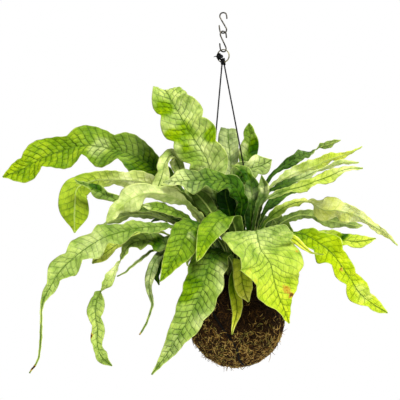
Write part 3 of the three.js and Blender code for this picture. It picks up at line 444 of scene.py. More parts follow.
    "right_pale": ("pale", (10.5, 6), 12, 7, 0.28, 0.22, 12, 0.35, (0.3, 0.4, 0.5, 0.62, 0.8, 0.9),
        (0.1, 0.3, 0.7, 0.7, 0.15, 0.1),
        (("green", 84, 190, 9, 0.3),),
        ((16, 10, 84, 2.8, 0), (25, 15, 132, 3.5, -20), (33, 17, 152, 3.5, -30), (46, 20, 167, 4, -45),
        (62, 26, 176, 7, -55), (79, 32, 184, 11, -60), (98, 38, 190, 10.5, -60), (117, 43, 199, 9.5, -60),
        (138, 48, 206, 5, -60), (153, 51, 211, 2.5, -60), (165, 53, 218, 0.8, -60))),
    "right_slim": ("dark", (14, 0), 5, 6, 0.28, 0.22, 12, 0.6, (0.1, 0.15, 0.16, 0.22, 0.45, 0.6),
        (0, 0, 0, 0.05, 0.6, 0.6), (),
        ((21, 5, 84, 2.6, 0), (26, 5, 132, 3.5, 20), (34, 4, 152, 3.5, 35), (49, 3, 163, 4, 50),
        (68, 3, 171, 6, 60), (85, 4, 177, 6, 60), (102, 6, 185, 4, 20), (116, 8, 190, 4, -40),
        (131, 9, 195, 4.5, -60), (155, 10, 196, 0.8, -60))),
    "right_upper": ("bright", (17.5, -6), 0, 6, 0.28, 0.22, 12, 0.5, (0.15, 0.3, 0.35, 0.62, 0.75, 0.7),
        (0.05, 0.3, 0.5, 0.2, 0.2, 0.9), (),
        ((24, -8, 84, 2.6, 0), (28, -12, 128, 3.5, 20), (35, -16, 147, 3.5, 35), (47, -20, 155, 4, 50),
        (65, -26, 161, 5.5, 60), (80, -30, 165, 7.5, 60), (96, -34, 171, 7.5, 60), (112, -37, 177, 8, 60),
        (127, -40, 184, 6, 60), (141, -41, 187, 3.5, 60), (153, -42, 187, 0.8, 60))),
    "right_inner": ("dark", (14, 12), 25, 4, 0.22, 0.18, 12, 0.9, (0.12, 0.24, 0.3), (0, 0.02, 0.05), (),
        ((20, 18, 84, 3, 0), (30, 30, 119, 3, 30), (40, 38, 136, 4, 50), (50, 46, 147, 6.5, 60),
        (63, 54, 156, 7, 60), (79, 60, 161, 4, 60), (95, 64, 160, 0.8, 60))),
    "top_olive": ("dark", (0, 12), 90, 3, 0.16, 0.12, 10, 0.6, (0.1, 0.2, 0.28), (0.05, 0.3, 0.35), (),
        ((0, 22, 84, 3, 0), (-1, 42, 148, 7, 0), (-4, 54, 182, 10, 0), (-6, 63, 208, 12.5, 0),
        (-8, 73, 230, 12.5, 0), (-8, 84, 242, 9, 0), (-8, 96, 240, 5, 0), (-9, 104, 226, 0.8, 0))),
    "top_pointed": ("dark", (3.5, 6), 80, 4, 0.24, 0.2, 16, 0.8, (0.2, 0.34, 0.42), (0.05, 0.15, 0.05),
        (("dark", 26, 216, 12, 0.4), ("pale", 9, 214, 10, 0.5)),
        ((6, 16, 84, 3, 0), (13, 30, 160, 6, 0), (16, 36, 193, 10, 10), (17, 38, 213, 11.5, 10),
        (19, 37, 229, 10.5, 10), (18.5, 35, 240, 6.5, 10), (18, 34, 247, 0.8, 10))),
    "top_right": ("dark", (7, 0), 0, 4, 0.28, 0.3, 10, 1, (0.1, 0.3, 0.45), (0.05, 0.2, 0.3),
        (("pale", 22, 202, 12, 0.35), ("dark", 4, 176, 14, 0.3)),
        ((7, 6, 84, 3, 60), (5, 13, 150, 6, 75), (3, 15, 172, 9, 85), (9, 17, 184, 13, 88),
        (21, 19, 189, 15, 88), (34, 22, 193, 12, 88), (46, 24, 200, 0.8, 88))),
    "centre_twist": ("bright", (10.5, -6), 180, 5, 0.3, 0.25, 14, 0.7, (0.12, 0.3, 0.4), (0, 0.05, 0.1),
        (("pale", 18, 158, 12, 0.2), ("dark", 8, 178, 10, 0.3)),
        ((12, -12, 84, 3, -60), (17, -18, 117, 7.5, -80), (18, -20, 136, 9, -95), (19, -20, 155, 9.5, -75),
        (17, -18, 171, 8.5, -95), (12, -15, 184, 6, -80), (2, -12, 189, 3.5, -60), (-6, -11, 191, 0.8, -50))),
    "rolled": ("dark", (14, -12), 0, 2, 0.16, 0.12, 30, 0.5, (0.1, 0.26, 0.4), (0, 0.1, 0.2),
        (("pale", 34, 162, 8, 0.5),),
        ((18, -20, 84, 2.8, 60), (22, -27, 125, 3, 80), (26, -29, 143, 3.5, 80), (33, -31, 156, 8, 80),
        (34, -34, 168, 8.5, 70), (30, -38, 179, 0.8, 60))),
    "centre_arch": ("dark", (3.5, -6), 180, 7, 0.3, 0.28, 14, 1, (0.06, 0.14, 0.22, 0.3, 0.42),
        (0, 0, 0, 0.05, 0.6),
        (("pale", -84, 168, 13, 0.35),),
        ((4, -18, 84, 3, -60), (4, -30, 124, 6, -70), (5, -40, 147, 8, -75), (-2, -46, 163, 11, -75),
        (-18, -48, 171, 12, -72), (-35, -52, 172, 14, -70), (-51, -56, 172, 15, -70),
        (-64, -60, 171, 15, -65), (-76, -64, 170, 9, -60), (-89, -67, 170, 0.8, -60))),
    "inner_shade": ("dark", (0, 0), 90, 2, 0.12, 0.08, 12, 0.9, (0.02, 0.06), (0, 0), (),
        ((0, -11, 84, 3.5, 0), (-6, -25, 122, 9.5, 0), (-11, -31, 142, 12, 0), (-14, -35, 156, 11, 0),
        (-13, -38, 166, 9, 0), (-14, -39, 175, 0.8, 0))),
    "left_peak": ("pale", (-10.5, 6), 185, 5, 0.34, 0.3, 14, 0.5, (0.2, 0.42, 0.58, 0.62), (0, 0.1, 0.5, 0.5),
        (("dark", -66, 180, 9, 0.5),),
        ((-20, 6, 90, 2.8, -40), (-36, 6, 116, 3.4, -50), (-52, -1, 143, 4.5, -60), (-65, -8, 171, 7, -80),
        (-73, -10, 194, 8, -80), (-80, -14, 204, 8.5, -60), (-88, -20, 193, 9, -60), (-92, -24, 178, 9, -75),
        (-97, -26, 163, 7, -80), (-101, -27, 150, 0.8, -80))),
    "inner_net": ("bright", (-7, -12), 180, 2, 0.18, 0.12, 12, 1, (0.1, 0.2, 0.28), (0, 0, 0.05), (),
        ((-11, -22, 84, 2.8, 40), (-24, -32, 119, 5, 80), (-32.5, -37, 136, 8, 90), (-44, -37, 151, 10, 90),
        (-55, -36, 161, 6, 90), (-66, -34, 168, 0.8, 90))),
    "inner_narrow": ("pale", (-3.5, -6), 180, 3, 0.2, 0.15, 14, 0.5, (0.15, 0.36, 0.48), (0, 0.12, 0.25), (),
        ((-8, -10, 86, 2.6, -30), (-25, -18, 114, 3.5, -60), (-54, -21, 144, 4.5, -80),
        (-70, -28, 156, 5, -80), (-84, -34, 163, 4, -80), (-93, -38, 167, 0.8, -80))),
    "inner_dark": ("dark", (-17.5, 18), 180, 2, 0.18, 0.1, 12, 0.5, (0.05, 0.1), (0, 0), (),
        ((-29, 22, 80, 2.6, 0), (-51, 18, 106, 3.5, -30), (-68, 11, 118, 5, -50), (-85, 5, 125, 5.5, -60),
        (-97, 2, 125, 3.5, -60), (-106, 0, 121, 0.8, -60))),
    "yellow_tip": ("bright", (21, -12), 330, 2, 0.16, 0.12, 12, 0.3, (0.7, 0.95), (0.1, 0.1), (),
        ((30, -25, 72, 2.4, 0), (46, -46, 97, 3, 20), (57, -57, 104, 3.6, 40), (67, -64, 102, 4.5, 60),
        (78, -69, 93, 3.5, 60), (88, -72, 86, 1.5, 60), (102, -74, 84, 0.8, 60))),
    "back_low_left": ("bright", (-10.5, 18), 128, 5, 0.22, 0.2, 12, 0.8, (0.2, 0.4, 0.5), (0.05, 0.15), (),
        ((-14, 30, 73, 3, 0), (-25, 46, 95, 8, 0), (-38, 68, 102, 12, 0), (-49, 90, 94, 13, 0),
        (-57, 106, 78, 11, 0), (-62, 116, 60, 0.8, 0))),
    "back_low_right": ("pale", (10.5, 18), 48, 5, 0.22, 0.2, 12, 0.8, (0.3, 0.5, 0.6), (0.1, 0.2), (),
        ((14, 30, 72, 3, 0), (27, 48, 96, 8, 0), (46, 66, 104, 12, 0), (63, 82, 97, 14, 0),
        (75, 95, 80, 11, 0), (82, 103, 60, 0.8, 0))),
    "back_left": ("dark", (-3.5, 18), 110, 7, 0.22, 0.2, 12, 1, (0.12, 0.28, 0.38), (0.05, 0.1), (),
        ((-6, 30, 86, 4, 0), (-16, 52, 118, 12, 0), (-25, 80, 126, 18, 0), (-33, 108, 113, 20, 0),
        (-38, 130, 87, 19, 0), (-40, 144, 54, 16, 0), (-40, 152, 22, 9, 0), (-42, 156, -6, 0.8, 0))),
    "back_middle": ("bright", (3.5, 18), 86, 7, 0.22, 0.2, 12, 0.9, (0.25, 0.45, 0.6), (0.05, 0.1), (),
        ((5, 30, 80, 6, 0), (8, 50, 104, 14, 0), (12, 80, 108, 19, 0), (15, 108, 92, 20, 0),
        (18, 128, 64, 18, 0), (18, 140, 32, 14, 0), (19, 144, 4, 7, 0), (20, 146, -18, 0.8, 0))),
    "back_right": ("dark", (17.5, 18), 65, 7, 0.22, 0.2, 12, 1, (0.15, 0.32, 0.42), (0.05, 0.15), (),
        ((24, 27, 86, 4, 0), (34, 46, 116, 11, 0), (45, 73, 126, 18, 0), (56, 100, 118, 20, 0),
        (64, 122, 96, 18, 0), (68, 138, 68, 14, 0), (70, 148, 40, 8, 0), (72, 154, 16, 0.8, 0))),
}
frondTable = {name: dict(zip(frondColumns, row)) for name, row in frondRows.items()}
frondSet = {
    "stalkBottom": 50,
    "stalkStraight": 62,
    "stalkHalfWidth": 1.9,
    "stalkThickness": 1.9,
    "stalkFades": (12, 45),  # into the blade, along the frond
    "bladeThickness": 0.62,
    "wavesGrow": (25, 70),
    "waveDrift": 0.13,  # of a wave, so that the waves aren't evenly long
    "driftTurns": 9,  # radians of that drift along a frond
    "frondLag": 1.7,  # radians, from one frond's waves to the next one's
    "halfLag": -1.5,
    "lobeLag": 0.8,
    "rowSpacing": 1.6,
    "columnSpacing": 1.3,
    "columnCrowding": 1.2,  # above 1, columns lie closer near the midrib
    "cellAcross": 6.3,  # a cell of the raised net
    "cellAlong": 8,
    "cellDrift": 0.45,  # of a cell
    "cellWander": (0.12, 5, 17),  # of a cell, over these lengths across and along the blade
    "veinSlant": 0.6,  # side veins lean towards the tip by this share of their length
    "cellHeight": 1.1,
    "cellFloor": 0.35,  # the share of that height on a blade with no net
    "fullCells": 8,  # the half width from which cells have their full height
    "fullRib": 4,
    "fullVeins": 5,
    "veinsGrow": (30, 75),
    "ribHeight": 0.7,
    "ribWidth": 0.9,
    "ribSunk": 0.3,  # on the face, as a share of its height underneath
    "crimp": 0.8,  # the margin's fine crimp, too small for the solids
    "crimpWave": 11,
}
leafSet = {
    "stops": ((0, "0e2f00"), (1, "d4d41c"), (0.25, "305a00"), (0.5, "6c8e02"), (0.75, "a6bc08")),
    "veinTint": "1e3c04",
    # the whitish colour of pale blades, partly their own and partly painted sheen
    "pale": "dae19c",
    "rim": "cfdc78",
    "rimShare": 0.55,
    "rib": ("3c5a0c", "a2b45c"),  # on the face and underneath
    "ribShare": 0.8,
    "underside": "8fa546",
    "undersideShare": 0.15,
    "dead": ((0.3, "b9a838"), (0.95, "120b04"), (0.5, "a17a20"), (0.7, "5a4014")),
    "gloss": (0.3, 0.5),
    "specular": 0.06,
    "veinWidth": 0.09,
    "cellShift": 0.035,
    # painted highlight on the raised middles of the cells, in tone
    "cellHighlight": 0.03,
    "crossVeins": 0.7,
    "throughLight": 0.25,
    # painted shade round the crown, where the stalks and inner leaves stand in shade
    "crown": (0, 0, 70),
    "crownShadeReach": (40, 145),
    "crownPaintedShade": 0.35,
    "crownShadeDepth": 1.7,
    "patchEdge": 0.25,  # how uneven a patch's outline is
    "patchInner": 0.3,  # the share of its radius that has its full strength
    "marginFade": (0.45, 0.35, 0.95),  # by how much veins are fainter, over these shares of the half width
    "darkRim": (0.6, 0.1, 0.45),  # by how much a rim is slimmer on a dark blade, over these tones
    # what a patch of full strength adds to tone, pale and brown; pale is partly painted sheen, and a pale
    # patch is a painted highlight
    "patchKinds": {"pale": (0, 1, 0), "dark": (-0.5, -1, 0), "green": (-0.12, -1, 0), "tan": (0, 0, 0.5),
                   "brown": (0, 0, 1)},
}


def leafMaterial(name, underside):
    # fern blade: a waxy cuticle over cells that let light through, with a sunken net of dark veins
    material, add = newMaterial(name)
    painted = ("tone", "pale", "brown", "netDepth", "ribDistance", "rimDistance")
    read = {attribute: add("Attribute", attribute_name=attribute)["Fac"] for attribute in painted}
    place = add("TexCoord")["Object"]
    # the net's UV map counts cells of 6.3 by 8 mm, which wander a little from their rows
    net = add("UVMap", uv_map="net")["UV"]
    wander = add("TexNoise", {"Vector": net, "Scale": 1.1, "Detail": 1.5})["Color"]
    reach = (frondSet["cellDrift"], frondSet["cellDrift"], 0)
    drift = add("VectorMath", (wander, reach), operation="MULTIPLY")["Vector"]
    wandered = add("VectorMath", (net, drift), operation="ADD")["Vector"]
    # veins 1.1 mm wide, drawn coarser than the real 0.5 mm so that they show
    cells = add("TexBrick", {"Vector": wandered, "Scale": 1, "Brick Width": 1, "Row Height": 1,
                             "Mortar Size": leafSet["veinWidth"], "Mortar Smooth": 0.9, "Color1": "000000",
                             "Color2": "ffffff", "Mortar": "808080"}, offset=0.5)
    # side veins run whole from the rib to the margin, and the cross veins between them are fainter
    counted = add("SeparateXYZ", {"Vector": wandered})["Y"]
    fromVein = add("Math", (counted, 0.5), operation="PINGPONG")[0]
    sideVeins = add("MapRange", (fromVein, 0.02, leafSet["veinWidth"], 1, 0))["Result"]
    crossVeins = add("Math", (cells["Fac"], leafSet["crossVeins"]), operation="MULTIPLY")[0]
    veins = add("Math", (sideVeins, crossVeins), operation="MAXIMUM")[0]
    shade = leafSet["cellShift"]
    cellShift = add("MapRange", (cells["Color"], 0, 1, -shade, shade))["Result"]
    cellPaleAndSheen = add("MapRange", (cells["Color"], 0, 1, 0.85, 1.15))["Result"]
    # a finer net of 2 mm inside each cell
    fine = add("TexVoronoi", {"Vector": wandered, "Scale": 3.2}, feature="DISTANCE_TO_EDGE")["Distance"]
    fineVeins = add("MapRange", (fine, 0, 0.09, 1, 0))["Result"]
    # veins come and go over 12 mm, as on a living blade
    comeAndGo = add("TexNoise", {"Vector": place, "Scale": 85, "Detail": 2})["Fac"]
    clearness = add("MapRange", (comeAndGo, 0.3, 0.6, 0.5, 1))["Result"]
    drawn = add("Math", (veins, read["netDepth"]), operation="MULTIPLY")[0]
    veined = add("Math", (drawn, clearness), operation="MULTIPLY")[0]

    # colour: mottled over 14 mm, then veins, pale patches that are partly painted sheen, rim, rib and dead
    # spots
    mottle = add("TexNoise", {"Vector": place, "Scale": 70, "Detail": 3})["Fac"]
    shift = add("MapRange", (mottle, 0.3, 0.7, -0.11, 0.11))["Result"]
    mottled = add("Math", (read["tone"], shift), operation="ADD")[0]
    shifted = add("Math", (mottled, cellShift), operation="ADD")[0]
    # painted highlight: the raised middles of the cells are painted paler than the dips by the side veins, as
    # light catches them
    wearAndHighlight = leafSet["cellHighlight"]
    middle = add("MapRange", (fromVein, 0.06, 0.4, -wearAndHighlight, wearAndHighlight))["Result"]
    tone = add("Math", (middle, read["netDepth"], shifted), operation="MULTIPLY_ADD")[0]
    colour = add("ValToRGB", {"Fac": tone}, leafSet["stops"])["Color"]
    for lines, strength in ((veined, 0.9), (fineVeins, 0.25)):
        share = add("Math", (lines, strength), operation="MULTIPLY")[0]
        mixed = {0: share, 6: colour, 7: leafSet["veinTint"]}
        colour = add("Mix", mixed, data_type="RGBA", blend_type="MULTIPLY")[2]
    # the pale, partly painted sheen, stays off the veins and varies in patches and from cell to cell
    between = add("Math", (veined, -0.8, 1), operation="MULTIPLY_ADD")[0]
    patchy = add("MapRange", (mottle, 0.36, 0.64, 0.5, 1.4))["Result"]
    paleAndSheenPatches = add("Math", (read["pale"], patchy), operation="MULTIPLY")[0]
    paleAndSheenCells = add("Math", (paleAndSheenPatches, cellPaleAndSheen), operation="MULTIPLY")[0]
    paleAndSheenShare = add("Math", (paleAndSheenCells, between), operation="MULTIPLY", use_clamp=True)[0]
    rimShare = add("MapRange", (read["rimDistance"], 0.2, 1.1, leafSet["rimShare"], 0))["Result"]
    ribShare = add("MapRange", (read["ribDistance"], 0.45, 1.2, leafSet["ribShare"], 0))["Result"]
    layers = [(paleAndSheenShare, leafSet["pale"]), (rimShare, leafSet["rim"]), (ribShare, leafSet["rib"][underside])]
    if underside:
        layers.append((leafSet["undersideShare"], leafSet["underside"]))
    for share, tint in layers:
        colour = add("Mix", {0: share, 6: colour, 7: tint}, data_type="RGBA")[2]
    ragged = add("TexNoise", {"Vector": place, "Scale": 500, "Detail": 4})["Fac"]
    raggedShift = add("MapRange", (ragged, 0, 1, -0.3, 0.3))["Result"]
    dead = add("Math", (read["brown"], raggedShift), operation="ADD")[0]
    deadShare = add("MapRange", (dead, 0.22, 0.42))["Result"]
    deadColour = add("ValToRGB", {"Fac": dead}, leafSet["dead"])["Color"]
    colour = add("Mix", {0: deadShare, 6: colour, 7: deadColour}, data_type="RGBA")[2]

    # surface: cells stand up between the veins, with the grain of the skin at 0.6 mm
    grain = add("TexNoise", {"Vector": place, "Scale": 1600, "Detail": 3})["Fac"]
    gloss = leafSet["gloss"][underside]
    rough = add("MapRange", (grain, 0, 1, gloss - 0.1, gloss + 0.2))["Result"]
    sunken = add("Math", (veined, -1), operation="MULTIPLY")[0]
    fineSunken = add("Math", (fineVeins, -0.25, sunken), operation="MULTIPLY_ADD")[0]
    height = add("Math", (grain, 0.12, fineSunken), operation="MULTIPLY_ADD")[0]
    bump = add("Bump", {"Height": height, "Strength": 0.7, "Distance": 0.0006})["Normal"]
    shader = add("BsdfPrincipled", {"Base Color": colour, "Roughness": rough, "Normal": bump, "IOR": 1.42,
                                    "Specular IOR Level": leafSet["specular"],
                                    "Subsurface Weight": leafSet["throughLight"], "Subsurface Scale": 0.0015,
                                    "Subsurface Radius": (0.9, 1, 0.25)})["BSDF"]
    add("OutputMaterial", {"Surface": shader})
    return material


leafFinishes = [leafMaterial("fernFace", 0), leafMaterial("fernUnderside", 1)]


def netCoordinates(along, across, halfWidth, length):
    # counts of cells outwards from the midrib and along the frond, leaning to the tip
    outwards = np.abs(across) * halfWidth
    wander, wanderOut, wanderAlong = frondSet["cellWander"]
    before = 10  # keeps the count above 0
    count = before + (along * length - frondSet["veinSlant"] * outwards) / frondSet["cellAlong"]
    count = count + wander * np.sin(outwards / wanderOut + along * length / wanderAlong)
    return outwards / frondSet["cellAcross"], count


def cellDome(cellsOut, cellsAlong):
    # 1 in a cell's middle and 0 on the veins round it; alternate rows are half a cell out, as in the material
    rowShift = np.where(np.floor(cellsAlong) % 2 == 0, 0.5, 0)
    out = np.abs(2 * ((cellsOut + rowShift) % 1) - 1)
    up = np.abs(2 * (cellsAlong % 1) - 1)
    return (1 - out**3) * (1 - up**3)


def bladePlaces(frond, number):
    # the blade's two faces as one closed loop of columns: over the face from one margin to the other and back
    foot = (frondSet["stalkHalfWidth"], frond["path"][0][4])
    bottom = (*frond["root"], frondSet["stalkBottom"], *foot)
    straight = (*frond["root"], frondSet["stalkStraight"], *foot)
    at, length = routeSampler((bottom, straight, *frond["path"]))
    widest = max(point[3] for point in frond["path"])
    rows = int(length / frondSet["rowSpacing"])
    columns = 2 * max(3, round(widest / frondSet["columnSpacing"]))
    evenAlong = np.linspace(0, 1, rows + 1)
    even = np.linspace(-1, 1, columns + 1)
    across = (np.sign(even) * np.abs(even) ** frondSet["columnCrowding"])[None, :]
    step = 0.002
    places = at(evenAlong)
    forward = unit((at(np.minimum(evenAlong + step, 1)) - at(np.maximum(evenAlong - step, 0)))[:, :3])
    heading = math.radians(frond["heading"])
    side = np.array((-math.sin(heading), math.cos(heading), 0))
    left = unit(side - forward * (forward @ side)[:, None])
    up = np.cross(forward, left)
    angle = np.radians(places[:, 4])[:, None]
    sideways = (left * np.cos(angle) + up * np.sin(angle))[:, None]
    upwards = (up * np.cos(angle) - left * np.sin(angle))[:, None]
    halfWidth = places[:, 3][:, None]
    along = evenAlong[:, None]
    edge = np.abs(across)
    # lobes and waves, which the stalk doesn't have
    growth = smooth(along * length, *frondSet["wavesGrow"])
    uneven = frondSet["waveDrift"] * np.sin(frondSet["driftTurns"] * along + number)
    phase = 2 * math.pi * (frond["waves"] * along + uneven) + number * frondSet["frondLag"]
    phase = phase + np.where(across < 0, frondSet["halfLag"], 0)
    lobe = 2 * np.abs(np.cos((phase + frondSet["lobeLag"]) / 2)) - 4 / math.pi
    rise = math.radians(frond["rise"])
    wide = halfWidth * (1 + frond["lobes"] * growth * lobe) * np.cos(rise * growth)
    lift = halfWidth * growth * (edge * math.sin(rise) + frond["ruffle"] * edge**1.5 * np.sin(phase))
    crimpPhase = 2 * math.pi * along * length / frondSet["crimpWave"] + 3 * np.sign(across)
    lift = lift + frondSet["crimp"] * growth * edge**4 * np.sin(crimpPhase)
    middle = places[:, None, :3] + sideways * (across * wide)[..., None] + upwards * lift[..., None]
    normal = unit(np.cross(np.gradient(middle, axis=0), np.gradient(middle, axis=1)))
    # the raised net, the blade's thickness and its midrib
    drift = frondSet["cellDrift"] / 2
    cellsOut, cellsAlong = netCoordinates(along, across, halfWidth, length)
    cells = cellDome(cellsOut + drift, cellsAlong + drift + np.where(across < 0, 0.5, 0))
    netShare = frondSet["cellFloor"] + (1 - frondSet["cellFloor"]) * frond["net"]
    relief = frondSet["cellHeight"] * netShare * growth * cells * (1 - edge**6)
    relief = relief * np.clip(halfWidth / frondSet["fullCells"], 0, 1)
    stalk = 1 - smooth(along * length, *frondSet["stalkFades"])
    bladeHalf = 0.5 * frondSet["bladeThickness"] * np.sqrt(1 - edge**6)
    stalkHalf = 0.5 * frondSet["stalkThickness"] * np.sqrt(1 - edge**2)
    half = bladeHalf * (1 - stalk) + stalkHalf * stalk
    fromRib = edge * halfWidth / frondSet["ribWidth"]
    rib = frondSet["ribHeight"] * (1 - along) ** 0.7 * np.exp(-(fromRib**2))
    rib = rib * (1 - stalk) * np.clip(halfWidth / frondSet["fullRib"], 0, 1) * (1 - edge**4)
    face = middle + normal * (relief + half - frondSet["ribSunk"] * rib)[..., None]
    under = middle + normal * (relief - half - rib)[..., None]
    loop = np.concatenate((face, under[:, -2::-1]), axis=1)
    loopAcross = np.concatenate((across[0], across[0, -2::-1]))
    return loop, loopAcross, places[:, 3], length


def stopsAt(stops, along):
    return np.interp(along, np.linspace(0, 1, len(stops)), stops)


def readAll(items, key, kind, size=1):
    values = np.empty(len(items) * size, kind)
    items.foreach_get(key, values)
    return values


def paintBlade(mesh, frond, loopAcross, halfWidths, length):
    along, turn = (readAll(mesh.attributes[key].data, "value", np.float32) for key in ("along", "turn"))
    places = readAll(mesh.vertices, "co", np.float32, 3).reshape(-1, 3) / mm - ballCentre
    across = loopAcross[np.round(turn * (len(loopAcross) - 1)).astype(int)]
    halfWidth = halfWidths[np.round(along * (len(halfWidths) - 1)).astype(int)]
    # painted shade: stalks and the inner crown are painted deeper green and lose their sheen, as shade falls
    # among them; the leaves in front are out of it
    fromCrown = (places - leafSet["crown"]) * (1, leafSet["crownShadeDepth"], 1)
    crown = 1 - smooth(np.linalg.norm(fromCrown, axis=1), *leafSet["crownShadeReach"])
    tone = stopsAt(frond["tone"], along) - leafSet["crownPaintedShade"] * crown
    pale = stopsAt(frond["pale"], along) * (1 - crown)
    brown = np.zeros(len(along))
    # patches: a pale one is a painted highlight
    for kind, x, z, radius, strength in frond["patches"]:
        fromX, fromZ = (places[:, 0] - x) / radius, (places[:, 2] - z) / radius
        uneven = leafSet["patchEdge"] * np.sin(3 * fromX + z) * np.sin(3.7 * fromZ + x)
        share = strength * (1 - smooth(np.hypot(fromX, fromZ) + uneven, leafSet["patchInner"], 1))
        toTone, toPaleAndSheen, toBrown = leafSet["patchKinds"][kind]
        tone += toTone * share
        pale += toPaleAndSheen * share
        brown = np.maximum(brown, toBrown * share)
    fade, *fadeOver = leafSet["marginFade"]
    fading = 1 - fade * smooth(np.abs(across), *fadeOver)
    slimmer, *darkTones = leafSet["darkRim"]
    grown = smooth(along * length, *frondSet["veinsGrow"]) * np.clip(halfWidth / frondSet["fullVeins"], 0, 1)
    painted = {
        "tone": tone,
        "pale": np.clip(pale, 0, 1),
        "brown": brown,
        "netDepth": frond["net"] * grown * fading,
        "ribDistance": np.abs(across) * halfWidth,
        "rimDistance": (1 - np.abs(across)) * halfWidth + slimmer * (1 - smooth(tone, *darkTones)),
    }
    for name, values in painted.items():
        mesh.attributes.new(name, "FLOAT", "POINT").data.foreach_set("value", values.astype(np.float32))
    # the net's UV map, with one half of the blade half a cell on
    corners = readAll(mesh.loops, "vertex_index", np.int32)
    sizes = readAll(mesh.polygons, "loop_total", np.int32)
    faceOf = np.repeat(np.arange(len(sizes)), sizes)
    faceAcross = np.bincount(faceOf, across[corners]) / sizes
    faceTurn = np.maximum.reduceat(turn[corners], np.concatenate(([0], np.cumsum(sizes)[:-1])))
    out, count = netCoordinates(along, across, halfWidth, length)
    uv = np.stack((out[corners], count[corners] + 0.5 * (faceAcross[faceOf] < 0)), axis=1)
    mesh.uv_layers.new(name="net").data.foreach_set("uv", uv.astype(np.float32).ravel())
    underside = (faceTurn > 0.5 + 0.5 / len(loopAcross)).astype(np.int32)
    mesh.polygons.foreach_set("material_index", underside)
    mesh.attributes.remove(mesh.attributes["along"])
    mesh.attributes.remove(mesh.attributes["turn"])


triangleCount = 0
for number, (name, frond) in enumerate(frondTable.items()):
    places, loopAcross, halfWidths, length = bladePlaces(frond, number)
    bm = newShape()
    addGrid(bm, (places + ballCentre) * mm)
    blade = closedPiece("blade_" + name, bm, leafFinishes, ["frond_" + name])
    paintBlade(blade.data, frond, loopAcross, halfWidths, length)
    triangleCount += 2 * len(blade.data.polygons)
print("fronds made,", triangleCount, "triangles")

# Moss ball: sheet moss bound on soil, dried and golden to olive, with painted shade that makes it dark brown
# above, where the fronds shade it
mossSet = {
    "detail": 7,  # times the round blank is divided
    "sunk": 1.2,  # the mat's mean surface below the ball's
    "lumps": ((11, 1.5), (4.5, 0.9), (1.8, 0.5)),  # size and height
    "flatSpot": -58.5,
    "mouthRadius": 31,
    "mouthFloor": 47,
    "mouthLevel": 58.5,  # of the strands in the mouth, at its middle
    "mouthDrop": 6.5,
    "grooveRadius": 3,
    "grooveDepth": 1.5,
    "cordClear": 1.9,  # no strand's middle lies nearer to the binding
    "specular": 0.12,
    "fibres": 10500,
    "fibreRadius": 0.38,
    "fibreLength": (4, 10),
    "fibreTop": 0.84,  # the upward share of a direction, above which there are no fibres
    "fibreLift": 0.35,
    "fibreArch": (0.2, 1.4),
    "fibreEnd": (-0.6, 1.6),  # how far its second end stands off, and its first is sunk by fibreSunk
    "fibreSunk": 0.5,
    "fibreSwerve": 0.3,  # sideways, as a share of its length
    "strays": 640,
    "strayLength": (4, 11),
    "strayTop": 0.8,
    "strayLean": (0.1, 0.65),  # 0 lies along the mat and 1 stands straight out
    "strayDroop": 0.35,
    "strayKink": 0.16,
    "tufts": 150,
    "tuftSpread": 0.05,
    "tuftBias": (-0.15, 0, -0.25),  # more of them to the left and below
    "mouthFibres": 1500,
    "mouthFibreLength": (4, 9),
    "mouthFibreArch": 1.4,
    "patchSize": 17,
    "patchReach": 26,
    # painted shade: more black and dark brown strands above, where the fronds shade the ball, than below
    "shadesMeet": (-16, 38),  # depths below the ball's centre
    "strandsInPaintedShade": (0.56, 0.32, 0.09, 0.02, 0.005, 0.005),
    "shadesBelow": (0.16, 0.2, 0.2, 0.2, 0.12, 0.12),
    "colours": ("100803", "2a1808", "5c3e14", "957027", "c09e52", "777628"),
    "wearAndHighlight": ("4a3015", "4a3015", "4a3015", "c2a467", "c2a467", "c2a467"),
}


def mossMatMaterial():
    # dried sheet moss: matt, brown-black in its depths, with golden and olive tufts; painted shade darkens
    # its upper half, where the fronds shade it
    material, add = newMaterial("driedMossMat")
    place = add("TexCoord")["Object"]
    # tufts of 3 mm and threads of 0.7 mm
    tufts = add("TexNoise", {"Vector": place, "Scale": 330, "Detail": 5, "Roughness": 0.7})["Fac"]
    threads = add("TexNoise", {"Vector": place, "Scale": 1400, "Detail": 3})["Fac"]
    # painted shade: the darker ramp above, where the fronds shade the ball, the lighter one below
    height = add("SeparateXYZ", {"Vector": place})["Z"]
    low = add("MapRange", (height, (ballCentre[2] + 25) * mm, (ballCentre[2] - 45) * mm))["Result"]
    dark = add("ValToRGB", {"Fac": tufts}, ((0.35, "070403"), (0.75, "2c1a0c"), (0.55, "140c06")))["Color"]
    light = add("ValToRGB", {"Fac": tufts}, ((0.35, "120a05"), (0.75, "7c6028"), (0.55, "3c2a12")))["Color"]
    colour = add("Mix", {0: low, 6: dark, 7: light}, data_type="RGBA")[2]
    bump = add("Bump", {"Height": threads, "Strength": 1, "Distance": 0.001})["Normal"]
    shader = add("BsdfPrincipled", {"Base Color": colour, "Normal": bump, "Roughness": 0.95, "IOR": 1.4,
                                    "Specular IOR Level": mossSet["specular"]})["BSDF"]
    add("OutputMaterial", {"Surface": shader})
    return material


def mossFibreMaterial(number):
    # one dried strand: straw-like, paler where it is worn
    material, add = newMaterial(f"driedMossStrand{number}")
    place = add("TexCoord")["Object"]
    streaks = add("TexNoise", {"Vector": place, "Scale": 700, "Detail": 3})["Fac"]
    share = add("MapRange", (streaks, 0.35, 0.7, 0, 0.6))["Result"]
    strand, wearAndHighlight = mossSet["colours"][number], mossSet["wearAndHighlight"][number]
    colour = add("Mix", {0: share, 6: strand, 7: wearAndHighlight}, data_type="RGBA")[2]
    shader = add("BsdfPrincipled", {"Base Color": colour, "Roughness": 0.8, "IOR": 1.45,
                                    "Specular IOR Level": mossSet["specular"]})["BSDF"]
    add("OutputMaterial", {"Surface": shader})
    return material


bindingTree = kdtree.KDTree(len(bindingLine))
for number, point in enumerate(bindingLine):
    bindingTree.insert(point, number)
bindingTree.balance()


